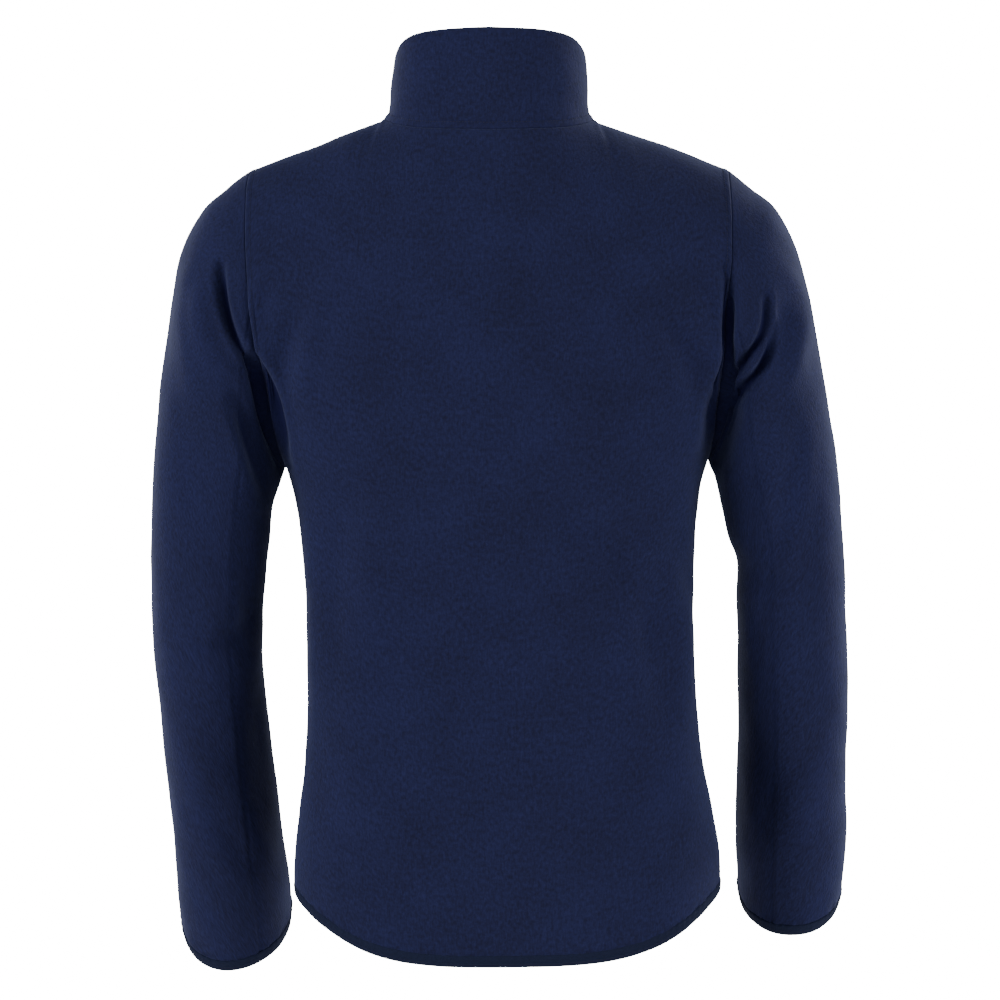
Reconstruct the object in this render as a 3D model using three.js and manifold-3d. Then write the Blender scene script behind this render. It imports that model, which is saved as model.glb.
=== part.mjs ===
// A zip-front fleece jacket, filled out as if it were worn, with nobody in it.
// Millimetres, +Z up. The front faces -Y and the wearer's left is +X.
// The origin is the middle of the neck, where the wearer's neck and shoulders hold the jacket up.
// Each panel is a thin wall: an outer surface worked out from a few sizes, and an inner one set in by
// the thickness of the cloth. Panels that are sewn together share the points of their seam, and each
// one stops half a seam gap short of it.
import * as THREE from "three";
import { mergeVertices } from "three/addons/utils/BufferGeometryUtils.js";
import Module from "manifold-3d";

const wasm = await Module();
wasm.setup();

// Cloth
const CLOTH = 2.0; // fleece thickness
const BINDING = 3.0; // thickness of the folded elastic binding
const BINDING_WIDTH = 8;
const BINDING_SWELL = 0.7; // how far its middle stands out
const HEM_PULL = 0.5; // how far a binding's elastic draws its free edge in, at the hem and the cuffs
const CUFF_PULL = 1.5;
const SEAM_GAP = 0.3;
const LEAST_MITRE = 0.5; // how far a wall's corner may stretch at a sharp seam

// Grid of the panels
const ROWS_BELOW_ARM = 12; // rows from hem to armpit
const ROWS_ABOVE_ARM = 12; // rows from armpit to shoulder
const HALF_COLUMNS = 14; // columns from the centre line to the side
const NECK_COLUMNS = 6; // how many of them end at the neck and not at the shoulder
const SLEEVE_ROWS = 24;
const COLLAR_ROWS = 5;

// Body
const ARMPIT_Z = -276;
const SHOULDER_TIP = { x: 197.5, y: 5, z: -33 };
const NECK = { half: 87, middleY: 10, halfDepth: 72 };
const ZIP_HALF_WIDTH = 9; // from the centre line to the edge of the cloth
const SIDE_HEM = -622; // top of the binding at the side seams
const BACK_DROP = 52.5; // how much lower the back hem is in the middle
const BACK_DROP_POWER = 3.7;
const SECTION_POWER = 0.82; // under 1 makes a section squarer than an ellipse

// One row for each level: half width, and depth of the back and the front from the side seam.
const BODY_SECTIONS = [
  { z: -690, half: 176, back: 113, front: 112 },
  { z: -640, half: 176, back: 113, front: 112 },
  { z: -605, half: 176.5, back: 112, front: 112 },
  { z: -565, half: 171.5, back: 109, front: 113 },
  { z: -520, half: 165, back: 106, front: 114 },
  { z: -480, half: 162, back: 102, front: 113 },
  { z: -440, half: 160.8, back: 99, front: 112 },
  { z: -400, half: 160.5, back: 98, front: 112 },
  { z: -360, half: 161.8, back: 100, front: 114 },
  { z: -330, half: 163.8, back: 104, front: 116 },
  { z: -302, half: 168, back: 110, front: 118 },
  { z: -276, half: 175, back: 115, front: 119 },
];

// Above the armpit a panel swells out by this much at the centre line and at the armhole. bowLeft and
// bowRight are how far the armhole seam curves outwards, at the wearer's left and right.
const SWELL = {
  back: { centre: 11, armhole: 72, bowLeft: 20, bowRight: 15 },
  front: { centre: 14, armhole: 76, bowLeft: -3, bowRight: -3 },
};
const BOW_POWER = 0.8; // under 1 puts the fullest part of the bow low down
const TOP_POWER = 1.8; // over 1 keeps the neck's and shoulder's line out of the middle of a panel
const SWELL_SKEW = 0.45; // how much fuller the swell at the centre line is low down
const SWELL_SCALE = 1.07; // brings that swell's fullest place back to 1
const ARMHOLE_SWELL_POWER = 0.7; // under 1 puts the fullest part of the armhole's swell low down
const SHOULDER_TURN = { atCentre: 0.2, fullAt: 0.55 }; // how much the rows crowd up as a panel turns over
const CORNER_REACH = 0.5; // how far the corner between neck and shoulder is smoothed out across a panel
const CORNER_FROM = 0.55; // the height, as a share, above which that corner is sharp again

// The jacket isn't quite straight: how far each level is shifted to the wearer's left, and its tilt.
const SWAY = [
  { z: -690, shift: -2.5, tilt: 0.01 },
  { z: -600, shift: -1.8, tilt: 0.006 },
  { z: -480, shift: 0, tilt: 0 },
  { z: -276, shift: 0, tilt: 0 },
  { z: -120, shift: 0.5, tilt: 0.01 },
  { z: 0, shift: 0.8, tilt: 0.018 },
  { z: 90, shift: -2, tilt: 0.016 },
];

// The neck seam and the collar's top edge, by the angle round the neck from the centre back.
const NECK_LINE = [
  { angle: 0, seam: -5, top: 80 },
  { angle: 40, seam: -2, top: 78 },
  { angle: 60, seam: 2, top: 74 },
  { angle: 75, seam: 6, top: 66 },
  { angle: 90, seam: 8, top: 57 },
  { angle: 115, seam: -12, top: 38 },
  { angle: 145, seam: -47, top: 14 },
  { angle: 180, seam: -70, top: -3 },
];

// The collar's half width and its shift in Y, from the neck seam (0) to the top edge (1).
const COLLAR_PROFILE = [
  { up: 0, half: 87, depth: 72, shift: 0 },
  { up: 0.14, half: 83, depth: 70, shift: -0.5 },
  { up: 0.5, half: 82, depth: 69.5, shift: -3 },
  { up: 0.85, half: 80.5, depth: 68, shift: -6 },
  { up: 1, half: 79.5, depth: 67, shift: -7 },
];

// Sleeves, seen from behind: the outer edge and the inner edge of each section, where its middle is in
// Y, half its depth, and how far it leans forward in degrees. Row 0 is the armhole.
const SLEEVE_LEFT = {
  side: 1,
  cuffDrop: 22,
  cuffTurn: -13,
  sections: [
    { outX: 197.5, outZ: -33, inX: 175, inZ: -276, y: 2.5, deep: 73, lean: 0 },
    { outX: 218, outZ: -45.5, inX: 175.8, inZ: -279, y: 3, deep: 75, lean: 0 },
    { outX: 239, outZ: -63, inX: 177.5, inZ: -283, y: 2.5, deep: 74, lean: 0 },
    { outX: 256.5, outZ: -94, inX: 180, inZ: -289, y: 2, deep: 71, lean: 0 },
    { outX: 266.5, outZ: -134, inX: 183.4, inZ: -297, y: 1, deep: 68, lean: 0 },
    { outX: 275, outZ: -184, inX: 186.8, inZ: -307, y: 0, deep: 65, lean: 0 },
    { outX: 281.5, outZ: -234, inX: 189, inZ: -321, y: -2, deep: 62, lean: 0 },
    { outX: 286, outZ: -284, inX: 191, inZ: -340, y: -4, deep: 60, lean: 2 },
    { outX: 289, outZ: -333, inX: 193.5, inZ: -362, y: -8, deep: 58, lean: 5 },
    { outX: 290, outZ: -385, inX: 197, inZ: -394, y: -14, deep: 56, lean: 9 },
    { outX: 289, outZ: -430, inX: 198.5, inZ: -430, y: -21, deep: 54, lean: 14 },
    { outX: 286, outZ: -475, inX: 196, inZ: -474, y: -31, deep: 51, lean: 19 },
    { outX: 283, outZ: -520, inX: 193, inZ: -520, y: -44, deep: 48, lean: 22 },
    { outX: 280, outZ: -565, inX: 189, inZ: -566, y: -60, deep: 45.5, lean: 25 },
    { outX: 279, outZ: -605, inX: 185.5, inZ: -606, y: -77, deep: 43.5, lean: 27 },
    { outX: 277, outZ: -648, inX: 182.5, inZ: -646, y: -97, deep: 42, lean: 28 },
  ],
};
const SLEEVE_RIGHT = {
  side: -1,
  cuffDrop: 14,
  cuffTurn: 11,
  sections: [
    { outX: 197.5, outZ: -33, inX: 175, inZ: -276, y: 2.5, deep: 73, lean: 0 },
    { outX: 216, outZ: -50, inX: 175.8, inZ: -279, y: 3, deep: 75, lean: 0 },
    { outX: 236, outZ: -68, inX: 177.5, inZ: -283, y: 2.5, deep: 74, lean: 0 },
    { outX: 251, outZ: -98, inX: 180, inZ: -289, y: 2, deep: 71, lean: 0 },
    { outX: 261, outZ: -140, inX: 182.4, inZ: -299, y: 1, deep: 68, lean: 0 },
    { outX: 270, outZ: -190, inX: 184.6, inZ: -310, y: 0, deep: 65, lean: 0 },
    { outX: 276.5, outZ: -236, inX: 187.5, inZ: -323, y: -2, deep: 62, lean: 0 },
    { outX: 282, outZ: -284, inX: 191, inZ: -341, y: -4, deep: 60, lean: 2 },
    { outX: 285.5, outZ: -333, inX: 197.5, inZ: -362, y: -8, deep: 58, lean: 5 },
    { outX: 288, outZ: -385, inX: 196.8, inZ: -394, y: -14, deep: 56, lean: 9 },
    { outX: 289, outZ: -430, inX: 198, inZ: -430, y: -21, deep: 54, lean: 13 },
    { outX: 289.5, outZ: -475, inX: 198.4, inZ: -474, y: -31, deep: 51, lean: 17 },
    { outX: 288.5, outZ: -515, inX: 197.5, inZ: -515, y: -43, deep: 48, lean: 20 },
    { outX: 288, outZ: -558, inX: 196.3, inZ: -559, y: -57, deep: 45.5, lean: 22 },
    { outX: 289, outZ: -598, inX: 195.8, inZ: -598, y: -73, deep: 43.5, lean: 24 },
    { outX: 286, outZ: -637, inX: 197, inZ: -636, y: -90, deep: 42, lean: 25 },
  ],
};
const ARMHOLE_SECTIONS = 5; // over how many sections a sleeve turns from the armhole's shape to an oval
const ARMHOLE_POWER = 1.5; // over 1 makes it turn sooner
const CUFF_SECTIONS = 4; // over how many sections the cuff's back edge drops
const CUFF_POWER = 0.7; // under 1 makes the drop fuller

// Zip
const TAPE_INNER = 3.1; // from the centre line to the tape's inner edge
const TAPE = { out: -0.5, in: -1.5 }; // the tape's faces, measured out from the cloth's outer surface
const CHAIN = { half: 2.8, out: 0.4, in: -2.2 };
const SLIDER = { half: 5, long: 12, plate: 1.6, slot: 1.9, core: 2.4, fromTop: 6 };
const LUG = { inner: 2.4, outer: 3.6, reach: 4.2, long: 4.4, middle: 6.6 }; // middle: up the slider
const PIN = { radius: 0.7, half: 2.8, reach: 2.7, sides: 12 }; // reach: from the slider's front plate
const PULL = { hole: 1.05, ring: 1.9, barrel: 1.95, half: 4, long: 30, thick: 1.6, neck: 5, corner: 2 };
const RING_SEGMENTS = 10;
const CORNER_SEGMENTS = 5;
const STOP = { near: 0.4, far: 2.8, long: 3.5, out: 0.4, in: -2.2 };
const BOX = { half: 2.8, long: 9, out: 0.8, in: -2.8 };

// Large folds of the cloth. from and to are [x, z] seen from behind or in front, deep is how far the
// cloth goes in (minus) or stands out (plus), wide is the half width of the fold.
const FOLDS = {
  sleeve_left: [
    { face: "back", from: [223, -114], to: [206, -190], wide: 14, deep: -7 },
    { face: "back", from: [206, -186], to: [182, -262], wide: 16, deep: -12 },
    { face: "back", from: [248, -130], to: [232, -222], wide: 16, deep: 5 },
    { face: "back", from: [240, -424], to: [198, -398], wide: 15, deep: -4 },
    { face: "front", from: [240, -140], to: [198, -236], wide: 17, deep: -9 },
    { face: "front", from: [262, -346], to: [204, -386], wide: 16, deep: -7 },
    { face: "front", from: [266, -410], to: [206, -428], wide: 15, deep: -6 },
    { face: "front", from: [262, -378], to: [206, -408], wide: 13, deep: 4 },
  ],
  sleeve_right: [
    { face: "back", from: [-228, -122], to: [-204, -196], wide: 14, deep: -7 },
    { face: "back", from: [-200, -180], to: [-182, -256], wide: 16, deep: -12 },
    { face: "back", from: [-246, -136], to: [-216, -222], wide: 15, deep: 5 },
    { face: "back", from: [-230, -230], to: [-224, -350], wide: 15, deep: -5 },
    { face: "front", from: [-232, -140], to: [-194, -230], wide: 17, deep: -9 },
    { face: "front", from: [-260, -340], to: [-204, -380], wide: 16, deep: -7 },
    { face: "front", from: [-262, -400], to: [-208, -430], wide: 15, deep: -6 },
  ],
  back_panel: [
    { face: "back", from: [-118, -116], to: [-178, -196], wide: 14, deep: 3.5 },
    { face: "back", from: [-138, -164], to: [-172, -232], wide: 15, deep: -5 },
    { face: "back", from: [-46, -300], to: [-114, -404], wide: 22, deep: -5 },
    { face: "back", from: [-128, -372], to: [-132, -480], wide: 17, deep: -5 },
    { face: "back", from: [-152, -384], to: [-150, -480], wide: 14, deep: 3 },
    { face: "back", from: [152, -150], to: [172, -236], wide: 15, deep: -5 },
    { face: "back", from: [124, -300], to: [138, -420], wide: 18, deep: -4 },
  ],
  front_left: [
    { face: "front", from: [156, -130], to: [122, -236], wide: 17, deep: -5 },
    { face: "front", from: [142, -370], to: [92, -440], wide: 20, deep: -5 },
    { face: "front", from: [150, -440], to: [110, -520], wide: 18, deep: 3 },
  ],
  front_right: [
    { face: "front", from: [-158, -124], to: [-126, -222], wide: 17, deep: -5 },
    { face: "front", from: [-142, -356], to: [-84, -416], wide: 20, deep: -5 },
    { face: "front", from: [-146, -470], to: [-100, -540], wide: 20, deep: 3 },
  ],
};

const FOLD_ENDS = 0.45; // the share of a fold's depth that is left at its ends
const FOLD_FACING = 0.5; // a fold is full where the cloth faces front or back by this much or more

const COLOURS = { fleece: 0x1c2340, binding: 0x141a2e, tape: 0x10131c, metal: 0x2a2c31 };

const point = (x, y, z) => new THREE.Vector3(x, y, z);
const lerp = THREE.MathUtils.lerp;
const radians = THREE.MathUtils.degToRad;
const steps = (count) => Array.from({ length: count + 1 }, (_, i) => i / count);

// The middle of several points.
const middleOf = (points) =>
  points.reduce((sum, p) => sum.add(p), point(0, 0, 0)).divideScalar(points.length);

// A smooth value of one column of a table, read where another column has the given value.
function along(table, key, at, column) {
  const last = table.length - 1;
  const x = table.map((row) => row[key]);
  const y = table.map((row) => row[column]);
  if (at <= x[0]) return y[0];
  if (at >= x[last]) return y[last];
  const i = x.findIndex((start, n) => at >= start && at < x[n + 1]);
  const slope = (n) => {
    const a = Math.max(n - 1, 0);
    const b = Math.min(n + 1, last);
    return (y[b] - y[a]) / (x[b] - x[a]);
  };
  const span = x[i + 1] - x[i];
  const t = (at - x[i]) / span;
  const t2 = t * t;
  const t3 = t2 * t;
  return (
    (2 * t3 - 3 * t2 + 1) * y[i] +
    (t3 - 2 * t2 + t) * span * slope(i) +
    (3 * t2 - 2 * t3) * y[i + 1] +
    (t3 - t2) * span * slope(i + 1)
  );
}

// How deep the folds of a piece press or lift its surface at a point. A fold is a soft trough or ridge
// along a straight line, full in its middle and fading to nothing at both ends.
function foldShift(piece, p, normal) {
  let shift = 0;
  for (const fold of FOLDS[piece] || []) {
    const facing = fold.face === "back" ? normal.y : -normal.y;
    const [ax, az] = fold.from;
    const [bx, bz] = fold.to;
    const length2 = (bx - ax) ** 2 + (bz - az) ** 2;
    const t = ((p.x - ax) * (bx - ax) + (p.z - az) * (bz - az)) / length2;
    const near = THREE.MathUtils.clamp(t, 0, 1);
    const away = Math.hypot(p.x - lerp(ax, bx, near), p.z - lerp(az, bz, near));
    const fade = THREE.MathUtils.smoothstep(facing, 0, FOLD_FACING);
    const share = lerp(FOLD_ENDS, 1, Math.sin(Math.PI * near));
    shift += fold.deep * fade * share * Math.exp(-((away / fold.wide) ** 2));
  }
  return shift;
}

// The neck seam at an angle from the centre back: side is +1 for the wearer's left.
function neckPoint(angle, side) {
  const a = radians(angle);
  return point(
    side * NECK.half * Math.sin(a),
    NECK.middleY + NECK.halfDepth * Math.cos(a),
    along(NECK_LINE, "angle", angle, "seam"),
  );
}

// The angle at which the front of the neck meets the zip.
const zipAngle = (half) => 180 - THREE.MathUtils.radToDeg(Math.asin(ZIP_HALF_WIDTH / half));

// A point of the body below the armpit. across goes from 0 at the centre line or zip to 1 at the side
// seam, and up from 0 at the hem to 1 at the armpit.
function lowerPoint(face, side, across, up) {
  const back = face === "back";
  const start = back ? 0 : 180 - zipAngle(along(BODY_SECTIONS, "z", SIDE_HEM, "half"));
  const angle = radians(lerp(start, 90, across));
  const hem = back
    ? SIDE_HEM - BACK_DROP * (1 - Math.sin(angle) ** BACK_DROP_POWER)
    : SIDE_HEM;
  const z = lerp(hem, ARMPIT_Z, up);
  const half = along(BODY_SECTIONS, "z", z, "half");
  const depth = along(BODY_SECTIONS, "z", z, face);
  const x = !back && across === 0 ? ZIP_HALF_WIDTH : half * Math.sin(angle);
  const y = depth * Math.max(Math.cos(angle), 0) ** SECTION_POWER;
  return point(side * x, across === 1 ? 0 : back ? y : -y, z);
}

// The line that the panels end on at the top: neck seam, then shoulder seam.
function topPoint(face, side, across) {
  const neckShare = NECK_COLUMNS / HALF_COLUMNS;
  if (across <= neckShare) {
    const part = across / neckShare;
    const start = face === "back" ? 0 : zipAngle(NECK.half);
    return neckPoint(lerp(start, 90, part), side);
  }
  const part = (across - neckShare) / (1 - neckShare);
  const inner = neckPoint(90, side);
  return inner.lerp(point(side * SHOULDER_TIP.x, SHOULDER_TIP.y, SHOULDER_TIP.z), part);
}

// The top line with its corner smoothed out: the mean of five of its points beside each other.
function softTop(face, side, across) {
  const reach = CORNER_REACH * across * (1 - across);
  const beside = [-1, -0.5, 0, 0.5, 1].map((n) => topPoint(face, side, across + n * reach));
  return middleOf(beside);
}

// A point of the body above the armpit, with up from 0 at the armpit to 1 at the neck or shoulder.
// It runs from the armpit line to the top line, swells out between them, and turns over at the shoulder.
function upperPoint(face, side, across, up) {
  const swell = SWELL[face];
  const low = lowerPoint(face, side, across, 1);
  const sharp = THREE.MathUtils.smoothstep(up, CORNER_FROM, 1);
  const top = softTop(face, side, across).lerp(topPoint(face, side, across), sharp);
  const turn = THREE.MathUtils.smoothstep(across, 0, SHOULDER_TURN.fullAt);
  const rise = lerp(up, Math.sin((Math.PI / 2) * up), lerp(SHOULDER_TURN.atCentre, 1, turn));
  const skewed = 1 + SWELL_SKEW * Math.cos(Math.PI * up);
  const soft = (Math.sin(Math.PI * up) * skewed) / SWELL_SCALE;
  const round = Math.sin(Math.PI * up ** ARMHOLE_SWELL_POWER);
  const bump = lerp(soft, round, across ** 4) * lerp(swell.centre, swell.armhole, across ** 3);
  const most = side > 0 ? swell.bowLeft : swell.bowRight;
  const bow = most * Math.sin(Math.PI * up ** BOW_POWER) * across ** 3;
  return point(
    lerp(low.x, top.x, up ** TOP_POWER) + side * bow,
    lerp(low.y, top.y, up ** TOP_POWER) + (face === "back" ? bump : -bump),
    lerp(low.z, top.z, rise),
  );
}

// A point of the upright jacket, moved by the sway of its level.
function swayed(p) {
  const x = p.x + along(SWAY, "z", p.z, "shift");
  return point(x, p.y, p.z + x * along(SWAY, "z", p.z, "tilt"));
}

function bodyPoint(face, side, across, row) {
  return swayed(
    row <= ROWS_BELOW_ARM
      ? lowerPoint(face, side, across, row / ROWS_BELOW_ARM)
      : upperPoint(face, side, across, (row - ROWS_BELOW_ARM) / ROWS_ABOVE_ARM),
  );
}

const BODY_ROWS = Array.from({ length: ROWS_BELOW_ARM + ROWS_ABOVE_ARM + 1 }, (_, i) => i);
const ACROSS = steps(HALF_COLUMNS);

// Columns run from the wearer's right to the left.
const backGrid = BODY_ROWS.map((row) => [
  ...ACROSS.slice(1).reverse().map((across) => bodyPoint("back", -1, across, row)),
  ...ACROSS.map((across) => bodyPoint("back", 1, across, row)),
]);
const frontGrid = (side) =>
  BODY_ROWS.map((row) => ACROSS.map((across) => bodyPoint("front", side, across, row)));
const frontLeftGrid = frontGrid(1);
const frontRightGrid = frontGrid(-1);

// The armhole seam as a ring: from the shoulder tip down the back to the armpit and up the front.
function armholeRing(side) {
  const ups = steps(ROWS_ABOVE_ARM);
  return [
    ...ups.slice(1).reverse().map((up) => swayed(upperPoint("back", side, 1, up))),
    ...ups.slice(0, -1).map((up) => swayed(upperPoint("front", side, 1, up))),
  ];
}

// A ring of the sleeve at a row number of its table. A ring is an oval between the outer and the inner
// edge. Near the armhole it takes on the armhole's own shape.
function sleeveRing(sleeve, row) {
  const table = sleeve.sections.map((section, n) => ({ ...section, n }));
  const at = (column) => along(table, "n", row, column);
  const out = point(sleeve.side * at("outX"), at("y"), at("outZ"));
  const inn = point(sleeve.side * at("inX"), at("y"), at("inZ"));
  const seam = armholeRing(sleeve.side);
  const first = table[0];
  const chord = point(first.inX - first.outX, 0, first.inZ - first.outZ);
  const blend = Math.max(0, 1 - row / ARMHOLE_SECTIONS) ** ARMHOLE_POWER;
  const lean = Math.tan(radians(at("lean")));
  const cuff = Math.max(0, row - (table.length - 1 - CUFF_SECTIONS)) / CUFF_SECTIONS;
  return seam.map((p, m) => {
    const turn = (2 * Math.PI * m) / seam.length;
    const local = point(sleeve.side * p.x - first.outX, 0, p.z - first.outZ);
    const seamAlong = local.dot(chord) / chord.lengthSq();
    const seamOff = (local.x * chord.z - local.z * chord.x) / chord.length();
    const downChord = lerp((1 - Math.cos(turn)) / 2, seamAlong, blend);
    const offChord = seamOff * blend;
    const y = lerp(Math.sin(turn), (p.y - first.y) / first.deep, blend) * at("deep");
    const here = out.clone().lerp(inn, downChord);
    const across = inn.clone().sub(out).normalize();
    here.x += offChord * sleeve.side * across.z;
    here.z -= offChord * sleeve.side * across.x;
    here.y += y;
    const drop = Math.max(0, Math.sin(turn - radians(sleeve.cuffTurn) * Math.sin(turn)));
    here.z -= y * lean + cuff ** 2 * sleeve.cuffDrop * drop ** CUFF_POWER;
    return here;
  });
}

const sleeveGrid = (sleeve) =>
  steps(SLEEVE_ROWS).map((t) =>
    t === 0 ? armholeRing(sleeve.side) : sleeveRing(sleeve, t * (sleeve.sections.length - 1)),
  );

// The collar stands on the neck seam. Columns run from the zip on the wearer's right round the back.
function collarPoint(side, angle, up) {
  const at = (column) => along(COLLAR_PROFILE, "up", up, column);
  const a = radians(angle);
  const low = along(NECK_LINE, "angle", angle, "seam");
  const top = along(NECK_LINE, "angle", angle, "top");
  const onOval = at("half") * Math.sin(a);
  const x = angle > 90 ? Math.max(onOval, ZIP_HALF_WIDTH) : onOval;
  const y = NECK.middleY + at("shift") + at("depth") * Math.cos(a);
  return point(side * x, y, lerp(low, top, up));
}

function collarGrid() {
  const share = steps(NECK_COLUMNS);
  const front = share.map((part) => lerp(zipAngle(NECK.half), 90, part));
  const back = share.map((part) => lerp(0, 90, part));
  const round = [
    ...front.map((angle) => [-1, angle]),
    ...back.slice(0, -1).reverse().map((angle) => [-1, angle]),
    ...back.slice(1).map((angle) => [1, angle]),
    ...front.slice(0, -1).reverse().map((angle) => [1, angle]),
  ];
  return steps(COLLAR_ROWS).map((up) =>
    round.map(([side, angle]) =>
      swayed(up === 0 ? neckPoint(angle, side) : collarPoint(side, angle, up)),
    ),
  );
}

// A binding goes on from the last row of cloth by its own width, standing out a little in its middle.
function bindingGrid(edge, inside, pull) {
  const middle = middleOf(edge);
  return [0, 0.5, 1].map((part) =>
    edge.map((p, i) => {
      const down = p.clone().sub(inside[i]).normalize();
      const out = p.clone().sub(middle).setZ(0).normalize();
      const swell = part === 0.5 ? BINDING_SWELL : -pull * part;
      return p.clone().addScaledVector(down, part * BINDING_WIDTH).addScaledVector(out, swell);
    }),
  );
}

const sleeves = { left: sleeveGrid(SLEEVE_LEFT), right: sleeveGrid(SLEEVE_RIGHT) };
const collar = collarGrid();
const ringRow = (row) => [
  ...frontRightGrid[row],
  ...backGrid[row].slice(1),
  ...frontLeftGrid[row].slice(0, -1).reverse(),
];
const hem = ringRow(0);
const aboveHem = ringRow(1);

const panels = [
  { name: "back_panel", grid: backGrid, thick: CLOTH, paint: "fleece" },
  { name: "front_left", grid: frontLeftGrid, thick: CLOTH, paint: "fleece" },
  { name: "front_right", grid: frontRightGrid, thick: CLOTH, paint: "fleece" },
  { name: "sleeve_left", grid: sleeves.left, thick: CLOTH, paint: "fleece", tube: true },
  { name: "sleeve_right", grid: sleeves.right, thick: CLOTH, paint: "fleece", tube: true },
  { name: "collar", grid: collar, thick: CLOTH, paint: "fleece" },
  { name: "hem_binding", grid: bindingGrid(hem, aboveHem, HEM_PULL), thick: BINDING, paint: "binding" },
  ...["left", "right"].map((side) => ({
    name: "cuff_binding_" + side,
    grid: bindingGrid(sleeves[side].at(-1), sleeves[side].at(-2), CUFF_PULL),
    thick: BINDING,
    paint: "binding",
    tube: true,
  })),
];
const panelNamed = (name) => panels.find((panel) => panel.name === name);

// The unit normal at each grid point, from the steps to its neighbours along the row and the column.
function gridNormals(grid, tube) {
  const rows = grid.length;
  const columns = grid[0].length;
  const wrap = (j) => (tube ? (j + columns) % columns : THREE.MathUtils.clamp(j, 0, columns - 1));
  return grid.map((row, i) =>
    row.map((_, j) => {
      const up = grid[Math.min(i + 1, rows - 1)][j].clone().sub(grid[Math.max(i - 1, 0)][j]);
      const sideways = row[wrap(j + 1)].clone().sub(row[wrap(j - 1)]);
      return sideways.cross(up).normalize();
    }),
  );
}

// Each panel's normals, turned so that they point away from the middle of what it goes round.
function outwardNormals({ name, grid, tube }) {
  const normals = gridNormals(grid, tube);
  const middle = middleOf(grid.flat());
  if (name !== "collar") middle.set(0, 0, middle.z);
  let outward = 0;
  grid.forEach((row, i) => {
    const from = tube ? middleOf(row) : middle;
    row.forEach((p, j) => {
      outward += Math.sign(normals[i][j].dot(p.clone().sub(from)));
    });
  });
  if (outward < 0) normals.flat().forEach((n) => n.negate());
  return normals;
}

// The name of a place, alike for points that meet, on a grid of 0.02 mm. The shift keeps round sizes off
// a rounding step.
const PLACES = 50;
const PLACE_SHIFT = 0.31;
const key = (p) => [p.x, p.y, p.z].map((v) => Math.round(v * PLACES + PLACE_SHIFT)).join(" ");

// Whether a column of a panel is its edge along the zip.
const zipEdge = (panel, j) =>
  (panel.name.startsWith("front") && j === 0) ||
  (panel.name === "collar" && (j === 0 || j === panel.grid[0].length - 1));

// Finds every panel's normals, adds its folds, and shares the normals and folds of points that meet.
function settleNormals() {
  const shared = new Map();
  for (const panel of panels) {
    panel.normals = outwardNormals(panel);
    panel.grid.forEach((row, i) =>
      row.forEach((p, j) => {
        const name = key(p);
        if (!shared.has(name)) shared.set(name, { sum: point(0, 0, 0), fold: 0, count: 0 });
        const entry = shared.get(name);
        entry.sum.add(panel.normals[i][j]);
        entry.fold += foldShift(panel.name, p, panel.normals[i][j]);
        entry.count += 1;
      }),
    );
  }
  for (const panel of panels)
    panel.grid = panel.grid.map((row, i) =>
      row.map((p, j) => {
        const entry = shared.get(key(p));
        const normal = entry.sum.clone();
        if (zipEdge(panel, j)) normal.setX(0);
        normal.normalize();
        const own = panel.normals[i][j];
        panel.normals[i][j] = { normal, mitre: Math.max(normal.dot(own), LEAST_MITRE) };
        return p.clone().addScaledVector(normal, entry.fold / entry.count);
      }),
    );
}
settleNormals();

// Pulls the edges of a panel back from their seams by half the seam gap.
function pullBack(panel) {
  const { grid, tube } = panel;
  const rows = grid.length;
  const columns = grid[0].length;
  return grid.map((row, i) =>
    row.map((p, j) => {
      const moved = p.clone();
      const towards = (q) => moved.add(q.clone().sub(p).setLength(SEAM_GAP / 2));
      if (i === 0) towards(grid[1][j]);
      if (i === rows - 1) towards(grid[rows - 2][j]);
      if (!tube && j === 0) towards(row[1]);
      if (!tube && j === columns - 1) towards(row[columns - 2]);
      return moved;
    }),
  );
}

// A geometry from points and faces, turned round if its volume is negative.
function closedGeometry(points, faces) {
  const volume = faces.reduce(
    (sum, [p, q, r]) => sum + points[p].clone().cross(points[q]).dot(points[r]),
    0,
  );
  const index = volume < 0 ? faces.map(([p, q, r]) => [p, r, q]) : faces;
  const places = points.flatMap((p) => [p.x, p.y, p.z]);
  const geometry = new THREE.BufferGeometry();
  geometry.setAttribute("position", new THREE.Float32BufferAttribute(places, 3));
  geometry.setIndex(index.flat());
  geometry.computeVertexNormals();
  return geometry;
}

// Which corner of a rim is the lower one: mostly by its Z, and by Y and X where that is alike.
const RIM_ORDER = point(0.3, 0.6, 1);

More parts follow.
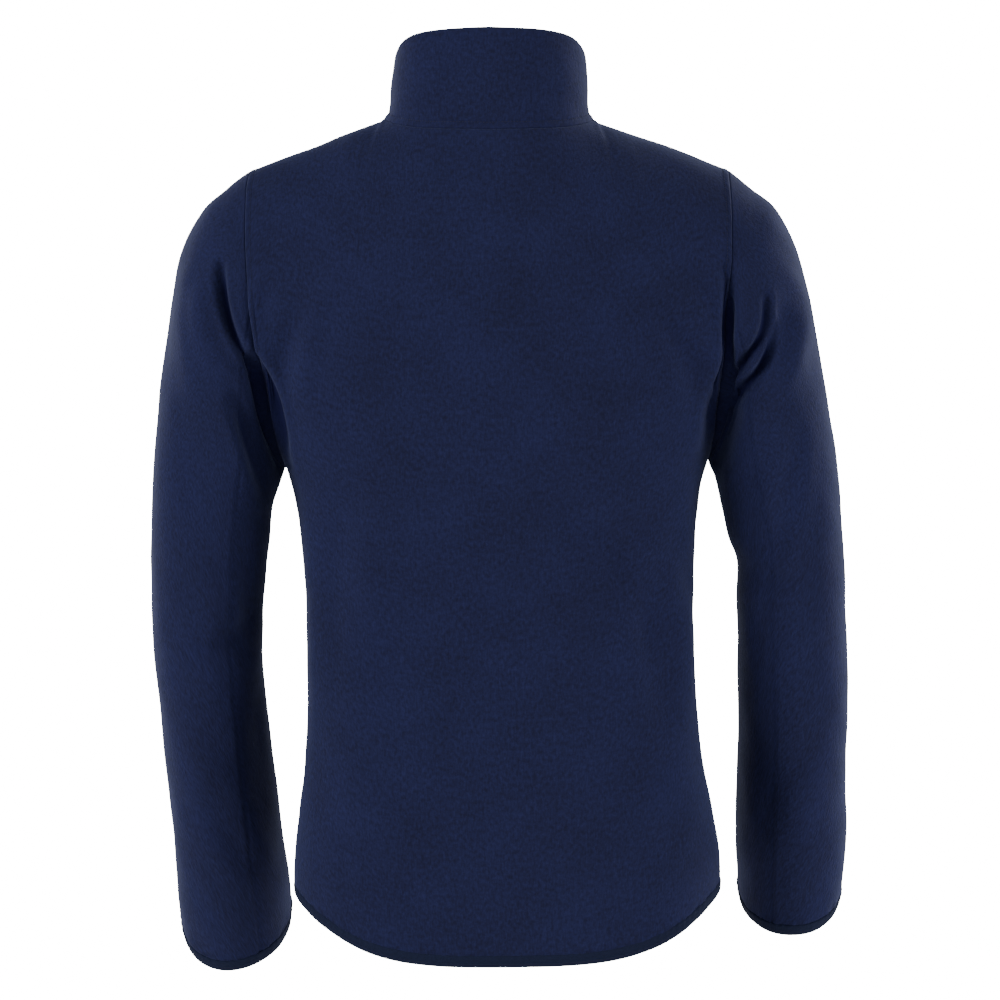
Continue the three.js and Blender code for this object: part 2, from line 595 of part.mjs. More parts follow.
// A wall: the outer grid, the same grid set in by the thickness, and a rim along each open edge.
function wallGeometry(panel) {
  const outer = pullBack(panel);
  const rows = outer.length;
  const columns = outer[0].length;
  const inner = outer.map((row, i) =>
    row.map((p, j) => {
      const { normal, mitre } = panel.normals[i][j];
      return p.clone().addScaledVector(normal, -panel.thick / mitre);
    }),
  );
  const points = [...outer.flat(), ...inner.flat()];
  const skin = rows * columns;
  const at = (i, j, layer) => layer * skin + i * columns + (j % columns);
  const faces = [];
  const quad = (a, b, c, d) => faces.push([a, b, c], [a, c, d]);
  // A rim's faces are split from its lower outer corner, so that both sides of a seam split alike.
  const height = (p) => p.dot(RIM_ORDER);
  const rim = (i, j, m, n) => {
    const [a, b] = [at(i, j, 0), at(m, n, 0)];
    const [c, d] = [b + skin, a + skin];
    if (height(panel.grid[i][j % columns]) < height(panel.grid[m][n % columns])) quad(a, b, c, d);
    else quad(b, c, d, a);
  };
  const lastColumn = panel.tube ? columns : columns - 1;
  for (let i = 0; i < rows - 1; i++)
    for (let j = 0; j < lastColumn; j++) {
      quad(at(i, j, 0), at(i, j + 1, 0), at(i + 1, j + 1, 0), at(i + 1, j, 0));
      quad(at(i, j, 1), at(i + 1, j, 1), at(i + 1, j + 1, 1), at(i, j + 1, 1));
    }
  for (let j = 0; j < lastColumn; j++) {
    rim(0, j + 1, 0, j);
    rim(rows - 1, j, rows - 1, j + 1);
  }
  if (!panel.tube)
    for (let i = 0; i < rows - 1; i++) {
      rim(i, 0, i + 1, 0);
      rim(i + 1, columns - 1, i, columns - 1);
    }
  return closedGeometry(points, faces);
}

// The centre line of the zip, from the foot of the hem's binding up the front and the collar, with its
// outward direction.
function zipLine() {
  const edge = [
    ...panelNamed("front_left").grid.map((row) => row[0]),
    ...panelNamed("collar").grid.slice(1).map((row) => row.at(-1)),
  ].map((p) => point(p.x - ZIP_HALF_WIDTH, p.y, p.z));
  const down = edge[0].clone().sub(edge[1]).setLength(BINDING_WIDTH);
  edge.unshift(edge[0].clone().add(down));
  return edge.map((p, i) => {
    const next = edge[Math.min(i + 1, edge.length - 1)];
    const run = next.clone().sub(edge[Math.max(i - 1, 0)]).normalize();
    return { p, run, out: point(0, -run.z, run.y) };
  });
}
const zip = zipLine();
const zipLengths = [0];
for (let i = 1; i < zip.length; i++)
  zipLengths.push(zipLengths[i - 1] + zip[i].p.distanceTo(zip[i - 1].p));

// The zip's centre line at a length from the hem.
function zipAt(length) {
  const i = Math.min(Math.max(zipLengths.findIndex((sum) => sum >= length), 1), zip.length - 1);
  const t = (length - zipLengths[i - 1]) / (zipLengths[i] - zipLengths[i - 1]);
  return {
    p: zip[i - 1].p.clone().lerp(zip[i].p, t),
    run: zip[i - 1].run.clone().lerp(zip[i].run, t).normalize(),
    out: zip[i - 1].out.clone().lerp(zip[i].out, t).normalize(),
  };
}
const zipLength = zipLengths.at(-1);
const sliderTop = zipLength - SLIDER.fromTop;
const sliderBottom = sliderTop - SLIDER.long;

const LEAST_STEP = 1; // the shortest part of a strip

// A strip of rectangular section along the zip, between two lengths from the hem.
function stripGeometry(from, to, x0, x1, outside, inside) {
  const between = zipLengths.filter((sum) => sum > from + LEAST_STEP && sum < to - LEAST_STEP);
  const stops = [from, ...between, to];
  const points = stops.flatMap((length) => {
    const { p, out } = zipAt(length);
    const corner = (x, away) => point(p.x + x, p.y + out.y * away, p.z + out.z * away);
    return [corner(x0, outside), corner(x1, outside), corner(x1, inside), corner(x0, inside)];
  });
  const faces = [[0, 1, 2], [0, 2, 3]];
  const end = points.length - 4;
  faces.push([end, end + 2, end + 1], [end, end + 3, end + 2]);
  for (let i = 0; i < end; i += 4)
    for (let side = 0; side < 4; side++) {
      const next = (side + 1) % 4;
      faces.push([i + side, i + 4 + side, i + 4 + next], [i + side, i + 4 + next, i + next]);
    }
  return closedGeometry(points, faces);
}

// Places a geometry whose X runs across, whose -Y faces out of the cloth and whose Z runs up the zip.
function onZip(geometry, length, away) {
  const { p, run, out } = zipAt(length);
  const inwards = out.clone().negate();
  const frame = new THREE.Matrix4().makeBasis(inwards.clone().cross(run).normalize(), inwards, run);
  return geometry.applyMatrix4(frame.setPosition(p.clone().addScaledVector(out, away)));
}

function toSolid(geometry) {
  const bare = geometry.index ? geometry.toNonIndexed() : geometry.clone();
  bare.deleteAttribute("normal");
  bare.deleteAttribute("uv");
  const merged = mergeVertices(bare, 1e-4);
  return new wasm.Manifold(
    new wasm.Mesh({
      numProp: 3,
      vertProperties: merged.attributes.position.array,
      triVerts: new Uint32Array(merged.index.array),
    }),
  );
}

function joined(geometries) {
  const whole = geometries.map(toSolid).reduce((a, b) => a.add(b)).getMesh();
  const geometry = new THREE.BufferGeometry();
  geometry.setAttribute("position", new THREE.Float32BufferAttribute(whole.vertProperties, 3));
  geometry.setIndex(new THREE.Uint32BufferAttribute(whole.triVerts, 1));
  geometry.computeVertexNormals();
  return geometry;
}

const outline = (points) => new THREE.Shape(points.map(([x, y]) => new THREE.Vector2(x, y)));

// The slider: two plates joined by a core, so that the tapes run through the slots at its sides, with
// two lugs and a pin in front to carry the pull tab.
const tapeMiddle = (TAPE.out + TAPE.in) / 2;
function sliderGeometry() {
  const slot = SLIDER.slot / 2;
  const face = slot + SLIDER.plate;
  const { half, core, long } = SLIDER;
  const section = outline([
    [-half, -face], [half, -face], [half, -slot], [core, -slot], [core, slot], [half, slot],
    [half, face], [-half, face], [-half, slot], [-core, slot], [-core, -slot], [-half, -slot],
  ]);
  const body = new THREE.ExtrudeGeometry(section, { depth: long, bevelEnabled: false });
  const lugs = [-1, 1].map((side) =>
    new THREE.BoxGeometry(LUG.outer - LUG.inner, LUG.reach + slot, LUG.long).translate(
      (side * (LUG.inner + LUG.outer)) / 2,
      -face - LUG.reach / 2 + slot / 2,
      LUG.middle,
    ),
  );
  const pin = new THREE.CylinderGeometry(PIN.radius, PIN.radius, 2 * PIN.half, PIN.sides)
    .rotateZ(Math.PI / 2)
    .translate(0, -face - PIN.reach, LUG.middle);
  return onZip(joined([body, ...lugs, pin]), sliderBottom, tapeMiddle);
}

// The middle of the pin, on which the pull tab turns.
function pinMiddle() {
  const { p, run, out } = zipAt(sliderBottom);
  const away = tapeMiddle + SLIDER.slot / 2 + SLIDER.plate + PIN.reach;
  return p.clone().addScaledVector(out, away).addScaledVector(run, LUG.middle);
}

// The pull tab: a ring round the pin, and a flat tab with round corners hanging straight down from it.
function pullGeometry() {
  const ring = new THREE.Shape().absarc(0, 0, PULL.ring, 0, 2 * Math.PI);
  ring.holes.push(new THREE.Path().absarc(0, 0, PULL.hole, 0, 2 * Math.PI));
  const barrel = new THREE.ExtrudeGeometry(ring, {
    depth: 2 * PULL.barrel,
    bevelEnabled: false,
    curveSegments: RING_SEGMENTS,
  })
    .translate(0, 0, -PULL.barrel)
    .rotateY(Math.PI / 2);
  const { barrel: narrow, half, long, neck, corner } = PULL;
  const top = (PULL.hole + PULL.ring) / 2;
  const shape = new THREE.Shape()
    .moveTo(-narrow, -top)
    .lineTo(-narrow, -neck)
    .quadraticCurveTo(-half, -neck, -half, -neck - corner)
    .lineTo(-half, -long + corner)
    .quadraticCurveTo(-half, -long, -half + corner, -long)
    .lineTo(half - corner, -long)
    .quadraticCurveTo(half, -long, half, -long + corner)
    .lineTo(half, -neck - corner)
    .quadraticCurveTo(half, -neck, narrow, -neck)
    .lineTo(narrow, -top);
  const tab = new THREE.ExtrudeGeometry(shape, {
    depth: PULL.thick,
    bevelEnabled: false,
    curveSegments: CORNER_SEGMENTS,
  })
    .translate(0, 0, -PULL.thick / 2)
    .rotateX(Math.PI / 2);
  return joined([barrel, tab]).translate(...pinMiddle().toArray());
}

function makeMesh(name, geometry, paint) {
  const metal = paint === "metal";
  const material = new THREE.MeshStandardMaterial({
    color: COLOURS[paint],
    roughness: metal ? 0.4 : 0.95,
    metalness: metal ? 0.8 : 0,
  });
  const mesh = new THREE.Mesh(geometry, material);
  mesh.name = name;
  return mesh;
}

const jacket = new THREE.Group();
for (const panel of panels) jacket.add(makeMesh(panel.name, wallGeometry(panel), panel.paint));

// Tapes stop at the ends of the zip; the chain lies between the box and the slider.
for (const [name, side] of [["left", 1], ["right", -1]]) {
  const edges = [side * (ZIP_HALF_WIDTH - SEAM_GAP / 2), side * TAPE_INNER];
  const [low, high] = [Math.min(...edges), Math.max(...edges)];
  const geometry = stripGeometry(0, zipLength, low, high, TAPE.out, TAPE.in);
  jacket.add(makeMesh("zip_tape_" + name, geometry, "tape"));
}
jacket.add(
  makeMesh(
    "zip_chain",
    stripGeometry(
      BOX.long + SEAM_GAP,
      sliderBottom - SEAM_GAP,
      -CHAIN.half,
      CHAIN.half,
      CHAIN.out,
      CHAIN.in,
    ),
    "metal",
  ),
);

jacket.add(makeMesh("zip_slider", sliderGeometry(), "metal"));
jacket.add(makeMesh("zip_pull", pullGeometry(), "metal"));
for (const [name, side] of [["left", 1], ["right", -1]]) {
  const edges = [side * STOP.near, side * STOP.far];
  const [low, high] = [Math.min(...edges), Math.max(...edges)];
  const from = sliderTop + SEAM_GAP;
  const geometry = stripGeometry(from, from + STOP.long, low, high, STOP.out, STOP.in);
  jacket.add(makeMesh("zip_stop_" + name, geometry, "metal"));
}
jacket.add(
  makeMesh("zip_box", stripGeometry(0, BOX.long, -BOX.half, BOX.half, BOX.out, BOX.in), "metal"),
);

export default jacket;
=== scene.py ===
"""The look of a zip-front fleece jacket, filled out as if it were worn, with nobody in it.

Each piece of cloth is a thin closed wall on a grid of two parameters: an outer surface worked out from the
same sizes as the solids, its creases and seams, and an inner surface set in by the thickness of the cloth.
Lengths are millimetres until a mesh is made. The front faces -Y, the wearer's left is +X, +Z is up.
"""

import bpy
import numpy as np
from mathutils import Matrix, Vector


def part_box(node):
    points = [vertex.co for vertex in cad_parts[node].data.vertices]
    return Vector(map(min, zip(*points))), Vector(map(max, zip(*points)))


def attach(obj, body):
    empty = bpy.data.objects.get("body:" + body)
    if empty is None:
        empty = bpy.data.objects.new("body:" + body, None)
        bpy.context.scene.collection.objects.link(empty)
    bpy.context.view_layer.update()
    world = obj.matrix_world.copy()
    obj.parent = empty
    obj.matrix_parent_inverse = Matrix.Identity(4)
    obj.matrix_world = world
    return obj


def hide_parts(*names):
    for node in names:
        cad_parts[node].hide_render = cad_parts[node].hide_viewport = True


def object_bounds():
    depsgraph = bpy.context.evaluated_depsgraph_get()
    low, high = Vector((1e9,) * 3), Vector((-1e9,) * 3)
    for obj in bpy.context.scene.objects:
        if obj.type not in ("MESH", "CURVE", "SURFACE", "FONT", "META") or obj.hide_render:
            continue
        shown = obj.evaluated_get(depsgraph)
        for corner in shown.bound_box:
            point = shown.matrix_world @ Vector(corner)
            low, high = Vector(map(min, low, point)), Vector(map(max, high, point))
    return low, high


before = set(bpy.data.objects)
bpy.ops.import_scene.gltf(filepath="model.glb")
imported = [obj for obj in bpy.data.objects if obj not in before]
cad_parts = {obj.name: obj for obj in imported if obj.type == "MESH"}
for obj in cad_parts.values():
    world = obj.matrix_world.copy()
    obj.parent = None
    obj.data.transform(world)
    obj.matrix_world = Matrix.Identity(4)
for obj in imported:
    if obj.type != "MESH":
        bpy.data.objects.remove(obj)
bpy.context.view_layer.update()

MM = 0.001


def columns(names, *rows):
    """A table with named columns: one array for each name."""
    return dict(zip(names.split(), np.array(rows, float).T))


# Sizes of the jacket, as in its solids
CLOTH = 2.0
SEAM_GAP = 0.3
SEAM_ROUND = 1.8  # over how far from a seam the cloth rolls into it
SEAM_DIP = 0.45  # how far it goes in there
ZIP_EDGE = 9.0  # from the centre line to the edge of the cloth
ARMPIT_Z = -276.0
SHOULDER_TIP = np.array([197.5, 5.0, -33.0])
NECK_HALF, NECK_MIDDLE, NECK_DEPTH = 87.0, 10.0, 72.0
SIDE_HEM = -622.0
BACK_DROP, BACK_DROP_POWER = 52.5, 3.7
SECTION_POWER = 0.82
TOP_POWER = 1.8
NECK_SHARE = 6 / 14  # the share of a panel's top that ends at the neck and not at the shoulder

BODY = columns(
    "z half back front",
    (-690, 176, 113, 112),
    (-640, 176, 113, 112),
    (-605, 176.5, 112, 112),
    (-565, 171.5, 109, 113),
    (-520, 165, 106, 114),
    (-480, 162, 102, 113),
    (-440, 160.8, 99, 112),
    (-400, 160.5, 98, 112),
    (-360, 161.8, 100, 114),
    (-330, 163.8, 104, 116),
    (-302, 168, 110, 118),
    (-276, 175, 115, 119),
)
SWELL = {
    "back": {"centre": 11, "armhole": 72, "bow": {1: 20, -1: 15}},
    "front": {"centre": 14, "armhole": 76, "bow": {1: -3, -1: -3}},
}
BOW_POWER = 0.8  # under 1 puts the fullest part of the armhole's bow low down
SWELL_SKEW, SWELL_SCALE, ARMHOLE_SWELL_POWER = 0.45, 1.07, 0.7
TURN_AT_CENTRE, TURN_FULL_AT = 0.2, 0.55  # how much the rows crowd up as a panel turns over
CORNER_REACH = 0.5  # how far the corner between neck and shoulder is smoothed out across a panel
CORNER_FROM = 0.55  # the height, as a share, above which that corner is sharp again
SWAY = columns(
    "z shift tilt",
    (-690, -2.5, 0.01),
    (-600, -1.8, 0.006),
    (-480, 0, 0),
    (-276, 0, 0),
    (-120, 0.5, 0.01),
    (0, 0.8, 0.018),
    (90, -2, 0.016),
)
NECK_LINE = columns(
    "angle seam top",
    (0, -5, 80),
    (40, -2, 78),
    (60, 2, 74),
    (75, 6, 66),
    (90, 8, 57),
    (115, -12, 38),
    (145, -47, 14),
    (180, -70, -3),
)
COLLAR = columns(
    "up half depth shift",
    (0, 87, 72, 0),
    (0.14, 83, 70, -0.5),
    (0.5, 82, 69.5, -3),
    (0.85, 80.5, 68, -6),
    (1, 79.5, 67, -7),
)
SLEEVE_COLUMNS = "out_x out_z in_x in_z y deep lean"
SLEEVES = {
    "left": {
        "side": 1,
        "cuff_drop": 22,
        "cuff_turn": -13,
        "table": columns(
            SLEEVE_COLUMNS,
            (197.5, -33, 175, -276, 2.5, 73, 0),
            (218, -45.5, 175.8, -279, 3, 75, 0),
            (239, -63, 177.5, -283, 2.5, 74, 0),
            (256.5, -94, 180, -289, 2, 71, 0),
            (266.5, -134, 183.4, -297, 1, 68, 0),
            (275, -184, 186.8, -307, 0, 65, 0),
            (281.5, -234, 189, -321, -2, 62, 0),
            (286, -284, 191, -340, -4, 60, 2),
            (289, -333, 193.5, -362, -8, 58, 5),
            (290, -385, 197, -394, -14, 56, 9),
            (289, -430, 198.5, -430, -21, 54, 14),
            (286, -475, 196, -474, -31, 51, 19),
            (283, -520, 193, -520, -44, 48, 22),
            (280, -565, 189, -566, -60, 45.5, 25),
            (279, -605, 185.5, -606, -77, 43.5, 27),
            (277, -648, 182.5, -646, -97, 42, 28),
        ),
    },
    "right": {
        "side": -1,
        "cuff_drop": 14,
        "cuff_turn": 11,
        "table": columns(
            SLEEVE_COLUMNS,
            (197.5, -33, 175, -276, 2.5, 73, 0),
            (216, -50, 175.8, -279, 3, 75, 0),
            (236, -68, 177.5, -283, 2.5, 74, 0),
            (251, -98, 180, -289, 2, 71, 0),
            (261, -140, 182.4, -299, 1, 68, 0),
            (270, -190, 184.6, -310, 0, 65, 0),
            (276.5, -236, 187.5, -323, -2, 62, 0),
            (282, -284, 191, -341, -4, 60, 2),
            (285.5, -333, 197.5, -362, -8, 58, 5),
            (288, -385, 196.8, -394, -14, 56, 9),
            (289, -430, 198, -430, -21, 54, 13),
            (289.5, -475, 198.4, -474, -31, 51, 17),
            (288.5, -515, 197.5, -515, -43, 48, 20),
            (288, -558, 196.3, -559, -57, 45.5, 22),
            (289, -598, 195.8, -598, -73, 43.5, 24),
            (286, -637, 197, -636, -90, 42, 25),
        ),
    },
}
ARMHOLE_SECTIONS = 5  # over how many sections a sleeve turns from the armhole's shape to an oval
ARMHOLE_POWER = 1.5  # over 1 makes it turn sooner
CUFF_SECTIONS = 4  # over how many the cuff's back edge drops
CUFF_POWER = 0.7

# Creases: a soft trough (deep below 0) or ridge along a bent line from (x0, z0) past (xm, zm) to
# (x1, z1), seen square on from behind or in front; wide is its half width
FOLD_COLUMNS = "x0 z0 xm zm x1 z1 wide deep"
FOLDS = {
    ("sleeve_left", "back"): columns(
        FOLD_COLUMNS,
        (223, -110, 219, -152, 204, -188, 13, -4),
        (222, -110, 217, -156, 197, -190, 4, -9),
        (198, -188, 185, -219, 174, -274, 6, -9),
        (202, -198, 190, -234, 178, -274, 14, -8),
        (212, -224, 202, -252, 190, -298, 7, -7),
        (231, -116, 237, -148, 232, -184, 7, 3),
        (250, -128, 246, -180, 230, -232, 15, 4.5),
        (240, -424, 220, -418, 198, -398, 13, -4),
        (216, -196, 205, -210, 198, -232, 6, 2.6),
        (246, -250, 240, -300, 228, -352, 16, -2.5),
        (204, -320, 207, -372, 204, -418, 9, -2.5),
        (206, -470, 202, -520, 200, -574, 11, -2.5),
        (196, -468, 195, -488, 193, -508, 4, 1.6),
        (262, -476, 258, -520, 262, -560, 14, 1.8),
        (240, -560, 224, -590, 206, -612, 12, -2),
        (214, -396, 232, -410, 254, -412, 7, 1.4),
    ),
    ("sleeve_left", "front"): columns(
        FOLD_COLUMNS,
        (240, -140, 224, -190, 198, -236, 14, -9),
        (228, -126, 214, -176, 190, -222, 5, -6),
        (262, -346, 236, -362, 204, -386, 12, -8),
        (252, -352, 232, -364, 206, -382, 5, -4),
        (266, -410, 238, -424, 206, -428, 11, -7),
        (262, -378, 236, -392, 206, -408, 11, 4),
        (226, -120, 214, -160, 190, -200, 10, -4),
        (270, -440, 244, -452, 214, -450, 10, -3),
        (258, -520, 240, -540, 210, -548, 13, -3),
        (252, -300, 232, -322, 202, -338, 12, -3),
    ),
    ("sleeve_right", "back"): columns(
        FOLD_COLUMNS,
        (-189, -120, -191, -162, -186, -216, 4.5, -7),
        (-222, -146, -216, -180, -192, -208, 4, -9),
        (-226, -168, -216, -203, -188, -229, 4.5, -9),
        (-224, -158, -217, -190, -194, -215, 5, 3),
        (-200, -198, -188, -232, -176, -270, 13, -11),
        (-241, -146, -232, -190, -212, -226, 9, -4),
        (-252, -136, -248, -184, -226, -230, 13, 4),
        (-240, -262, -236, -302, -228, -350, 10, -5),
        (-236, -250, -232, -290, -230, -330, 8, 2),
        (-250, -372, -226, -378, -204, -366, 10, -2.4),
        (-208, -392, -216, -430, -212, -470, 9, -2),
        (-216, -520, -220, -556, -214, -596, 10, -2),
        (-262, -520, -256, -560, -262, -596, 14, 1.6),
        (-262, -292, -258, -340, -264, -390, 16, -1.8),
    ),
    ("sleeve_right", "front"): columns(
        FOLD_COLUMNS,
        (-232, -140, -220, -186, -194, -230, 14, -9),
        (-222, -130, -210, -170, -190, -208, 5, -6),
        (-260, -340, -238, -358, -204, -380, 12, -8),
        (-262, -400, -240, -418, -208, -430, 11, -7),
        (-252, -408, -236, -420, -212, -430, 5, -4),
        (-256, -374, -234, -386, -208, -402, 9, 3),
        (-224, -118, -212, -156, -188, -194, 10, -4),
        (-266, -452, -240, -462, -212, -456, 11, -3),
        (-254, -528, -236, -544, -212, -552, 12, -3),
    ),
    ("back_panel", "back"): columns(
        FOLD_COLUMNS,
        (-118, -112, -150, -146, -182, -198, 11, 3.4),
        (-132, -150, -156, -190, -172, -236, 13, -4.5),
        (-44, -298, -84, -344, -116, -408, 18, -4.6),
        (-66, -292, -98, -330, -126, -372, 13, 1.6),
        (-127, -366, -124, -420, -131, -482, 13, -5),
        (-152, -384, -154, -430, -150, -486, 10, 3),
        (-153, -300, -158, -330, -157, -356, 9, 1.6),
        (-152, -362, -154, -378, -152, -396, 8, -2.2),
        (-78, -420, -84, -452, -78, -484, 24, -2.6),
        (160, -158, 172, -196, 172, -244, 12, -4),
        (198, -188, 185, -219, 174, -274, 5.5, -8),
        (-189, -120, -191, -162, -186, -216, 5, -6),
        (-192, -206, -184, -234, -176, -270, 9, -7),
        (190, -122, 196, -150, 192, -182, 6, 1.8),
        (134, -130, 152, -170, 162, -216, 10, 1.8),
        (124, -300, 134, -360, 138, -424, 17, -3.4),
        (148, -330, 150, -400, 150, -470, 10, 1.6),
        (60, -330, 84, -420, 76, -520, 26, -1.4),
        (-30, -130, -6, -180, 26, -214, 30, -1.6),
        (40, -90, 86, -110, 128, -118, 24, 1.2),
        (20, -560, 60, -590, 112, -600, 20, -1.4),
        (-120, -566, -70, -592, -20, -596, 20, 1.2),
    ),
    ("front_left", "front"): columns(
        FOLD_COLUMNS,
        (158, -128, 150, -180, 126, -232, 11, -6),
        (176, -150, 166, -190, 150, -226, 7, -5),
        (142, -370, 120, -410, 88, -440, 15, -6),
        (150, -440, 134, -490, 104, -520, 14, 4),
        (132, -110, 112, -150, 84, -178, 13, -3.4),
        (112, -280, 92, -330, 56, -366, 16, -3.4),
        (148, -308, 126, -340, 96, -358, 9, -3.6),
        (60, -470, 52, -540, 56, -590, 18, -1.8),
        (34, -150, 30, -230, 36, -320, 14, -1.6),
    ),
    ("front_right", "front"): columns(
        FOLD_COLUMNS,
        (-160, -122, -151, -172, -130, -218, 12, -6),
        (-178, -158, -170, -196, -156, -240, 7, -4.6),
        (-142, -356, -118, -390, -80, -416, 15, -6),
        (-146, -470, -128, -512, -96, -540, 15, 4),
        (-130, -106, -108, -140, -76, -160, 13, -3),
        (-114, -262, -88, -310, -54, -338, 17, -3.2),
        (-150, -330, -130, -352, -106, -362, 9, -3.2),
        (-64, -486, -48, -548, -54, -600, 18, -1.8),
        (-36, -180, -30, -250, -38, -350, 14, -1.4),
    ),
    ("collar", "back"): columns(
        FOLD_COLUMNS,
        (-62, 22, -50, 34, -54, 62, 10, -1.2),
        (40, 16, 30, 40, 36, 68, 12, -1.0),
        (-20, 24, 0, 30, 24, 26, 9, 0.6),
    ),
    ("collar", "front"): columns(
        FOLD_COLUMNS,
        (22, -50, 34, -30, 50, -14, 9, -1.6),
        (-24, -52, -38, -34, -52, -12, 9, -1.5),
    ),
}
# Painted shade: the colour is darkened and the sheen cut in steep troughs, standing in for the shadow deep
# in the creases
SHADE_SLOPES = 0.3, 1.5  # a trough is painted dark from the first slope on, and darkest from the second
SHADE_NARROW = 1.45  # how much narrower the painted shade is than the trough
SHADE_ENDS = 0.15  # how much of the painted shade is left at a crease's ends
SHADE_FACING = -0.1, 0.2  # how far the cloth faces the viewer where the painted shade begins and where it is full
FOLD_FACING = 0.0, 0.5  # the same for the crease itself
FOLD_ENDS = 0.45  # how much of a crease's depth is left at its ends
FOLD_LIP = 0.2  # how much cloth is pushed up beside a crease, as a share of its depth
LIP_AT, LIP_WIDE = 1.7, 0.7  # where that is, in half widths of the crease
FOLD_STEPS = 12  # straight steps along a crease's line
UNEVENNESS = (0.8, 90, 3), (0.3, 34, 5)  # millimetres high, length of the waves, seed
WAVES, WAVES_HEIGHT = 9, 4.2  # sine waves in one unevenness, and how high they come when they add up
SEAM_CELLS = 20  # points of two edges meet when they lie in the same cell of 1/20 mm
SEAM_CELL_SHIFT = 0.31  # moves the cells off round sizes

# Zip, sewing and edges
TOOTH_PITCH = 2.6
TAPE_SECTIONS = 200
BINDING_WIDTH = 8.0
BINDING_WRAP = 1.8  # how far up it goes over the cloth
BINDING_STEP = 1.5  # from one section to the next
BINDING_POINTS = 22  # round one section
BINDING_MIDDLE = -1.0  # the middle of its wall, out from the cloth's outer surface
BINDING_THICK = 1.75  # half its wall
BINDING_SQUARE = 0.5, 0.6  # powers under 1 that make the section's oval square, down it and out of it
GATHER_LONG, GATHER_HIGH = 6.4, 0.32
GATHER_FADE = 7.0  # how far down a gather dies away
GATHER_WANDER = 1.6  # how unevenly the gathers follow each other
GATHER_LEAST = 0.3  # the height of the lowest ones, as a share
GATHER_PLACES = 40, 60  # at how many places their spacing and their height change
CHAIN_STITCH = 2.0, 0.7, 0.35  # the pressed line of its sewing: how far down it, half width, depth
STITCH = 2.5  # a stitch and the gap after it
STITCH_GAP = 0.8
STITCH_SECTION = columns(  # a stitch from one end to the other
    "end share height radius",
    (-0.25, -1, -0.35, 0.12),
    (0, -0.6, 0.1, 0.27),
    (0, 0.6, 0.1, 0.27),
    (0.25, 1, -0.35, 0.12),
)
STITCH_SIDES = 5
COLLAR_SEWING, EDGE_SEWING = 6.0, 5.5  # how far from its seam a row of stitches runs
TOOTH = columns(  # one tooth from the left, in steps round it from the tape
    "x z",
    (2.75, -0.62),
    (2.75, 0.62),
    (0.9, 0.66),
    (0.45, 0.36),
    (-0.55, 0.56),
    (-0.9, 0.0),
    (-0.55, -0.56),
    (0.45, -0.36),
    (0.9, -0.66),
)
TOOTH_LAYERS = columns("out scale", (0.4, 0.72), (0.05, 1), (-1.9, 1), (-2.2, 0.75))
TOOTH_END = 0.8  # from the end of the chain to the middle of the first tooth
TAPE_STRIPS = {  # from the centre line to one edge and the other, and the depths of the faces
    "tape_cords": (-5.4, 5.4, 2.25, 2.7),
    "tape_margin_left": (6.2, 14.0, 2.1, 2.6),
    "tape_margin_right": (-14.0, -6.2, 2.1, 2.6),
}

# Photograph's camera and the room
PIXEL = 0.83  # millimetres a pixel at the middle of the jacket
FRAME_PIXELS = 1000
CAMERA = np.array([-2.0, 3700.0, -306.0])
CAMERA_ROLL = 0.020
SENSOR = 36.0
CLIP = 0.1, 30  # metres
FLOOR_BELOW = 0.9  # metres from the lowest hem to the floor
FLOOR_RADIUS, FLOOR_GREY = 2.6, 0.8
WORLD_SEEN, WORLD_LIGHT = 20.0, 0.16  # how bright the surround looks, and how much light it gives
LIGHT_AIM = (0, 0, -0.3)
LIGHTS = (  # name, place and size in metres, watts
    ("left_side", (2.5, 1.4, 0.2), 1.6, 110),
    ("right_side", (-2.6, 1.1, -0.5), 1.6, 84),
    ("top", (0.1, 0.8, 2.2), 1.4, 26),
    ("behind_camera", (0.4, 3.0, 0.6), 1.6, 14),
    ("front_right", (-2.2, -1.7, 0.8), 1.6, 90),
    ("front_left", (1.9, -2.3, 0.3), 1.6, 50),
)


def lerp(a, b, t):
    return a + (b - a) * t


def smoothstep(x, low, high):
    t = np.clip((x - low) / (high - low), 0, 1)
    return t * t * (3 - 2 * t)


def place(x, y, z):
    """Points from their three coordinates."""
    return np.stack(np.broadcast_arrays(x, y, z), -1)


def size_of(v):
    return np.linalg.norm(v, axis=-1, keepdims=True)


def unit(v):
    return v / np.maximum(size_of(v), 1e-9)


def along(table, key, at, column):
    """A smooth curve through one column of a table: a cubic between each two rows, whose slope at a row is
    that of the line between the rows beside it. It is level past both ends."""
    x, y = table[key], table[column]
    low = np.clip(np.arange(len(x)) - 1, 0, None)
    high = np.clip(np.arange(len(x)) + 1, None, len(x) - 1)
    slope = (y[high] - y[low]) / (x[high] - x[low])
    at = np.clip(at, x[0], x[-1])
    i = np.clip(np.searchsorted(x, at, side="right") - 1, 0, len(x) - 2)
    span = x[i + 1] - x[i]
    t = (at - x[i]) / span
    start = (2 * t**3 - 3 * t**2 + 1) * y[i] + (t**3 - 2 * t**2 + t) * span * slope[i]
    return start + (3 * t**2 - 2 * t**3) * y[i + 1] + (t**3 - t**2) * span * slope[i + 1]


def stops(low, high, count, fine_low=(), fine_high=()):
    """Even steps from low to high, with finer ones by the ends: fine_low and fine_high are distances from
    them as shares of the whole."""
    even = np.linspace(0, 1, count + 1)
    fine = [np.array(fine_low, float), 1 - np.array(fine_high, float)]
    return lerp(low, high, np.unique(np.round(np.concatenate([even, *fine]), 6)))


def zip_angle(half):
    """The angle, from the centre back, at which an oval of this half width meets the zip."""
    return 180 - np.degrees(np.arcsin(ZIP_EDGE / half))


def neck_point(angle, side):
    """The neck seam: an oval in plan, whose height follows the neck line's table."""
    a = np.radians(angle)
    x = side * NECK_HALF * np.sin(a)
    return place(x, NECK_MIDDLE + NECK_DEPTH * np.cos(a), along(NECK_LINE, "angle", angle, "seam"))


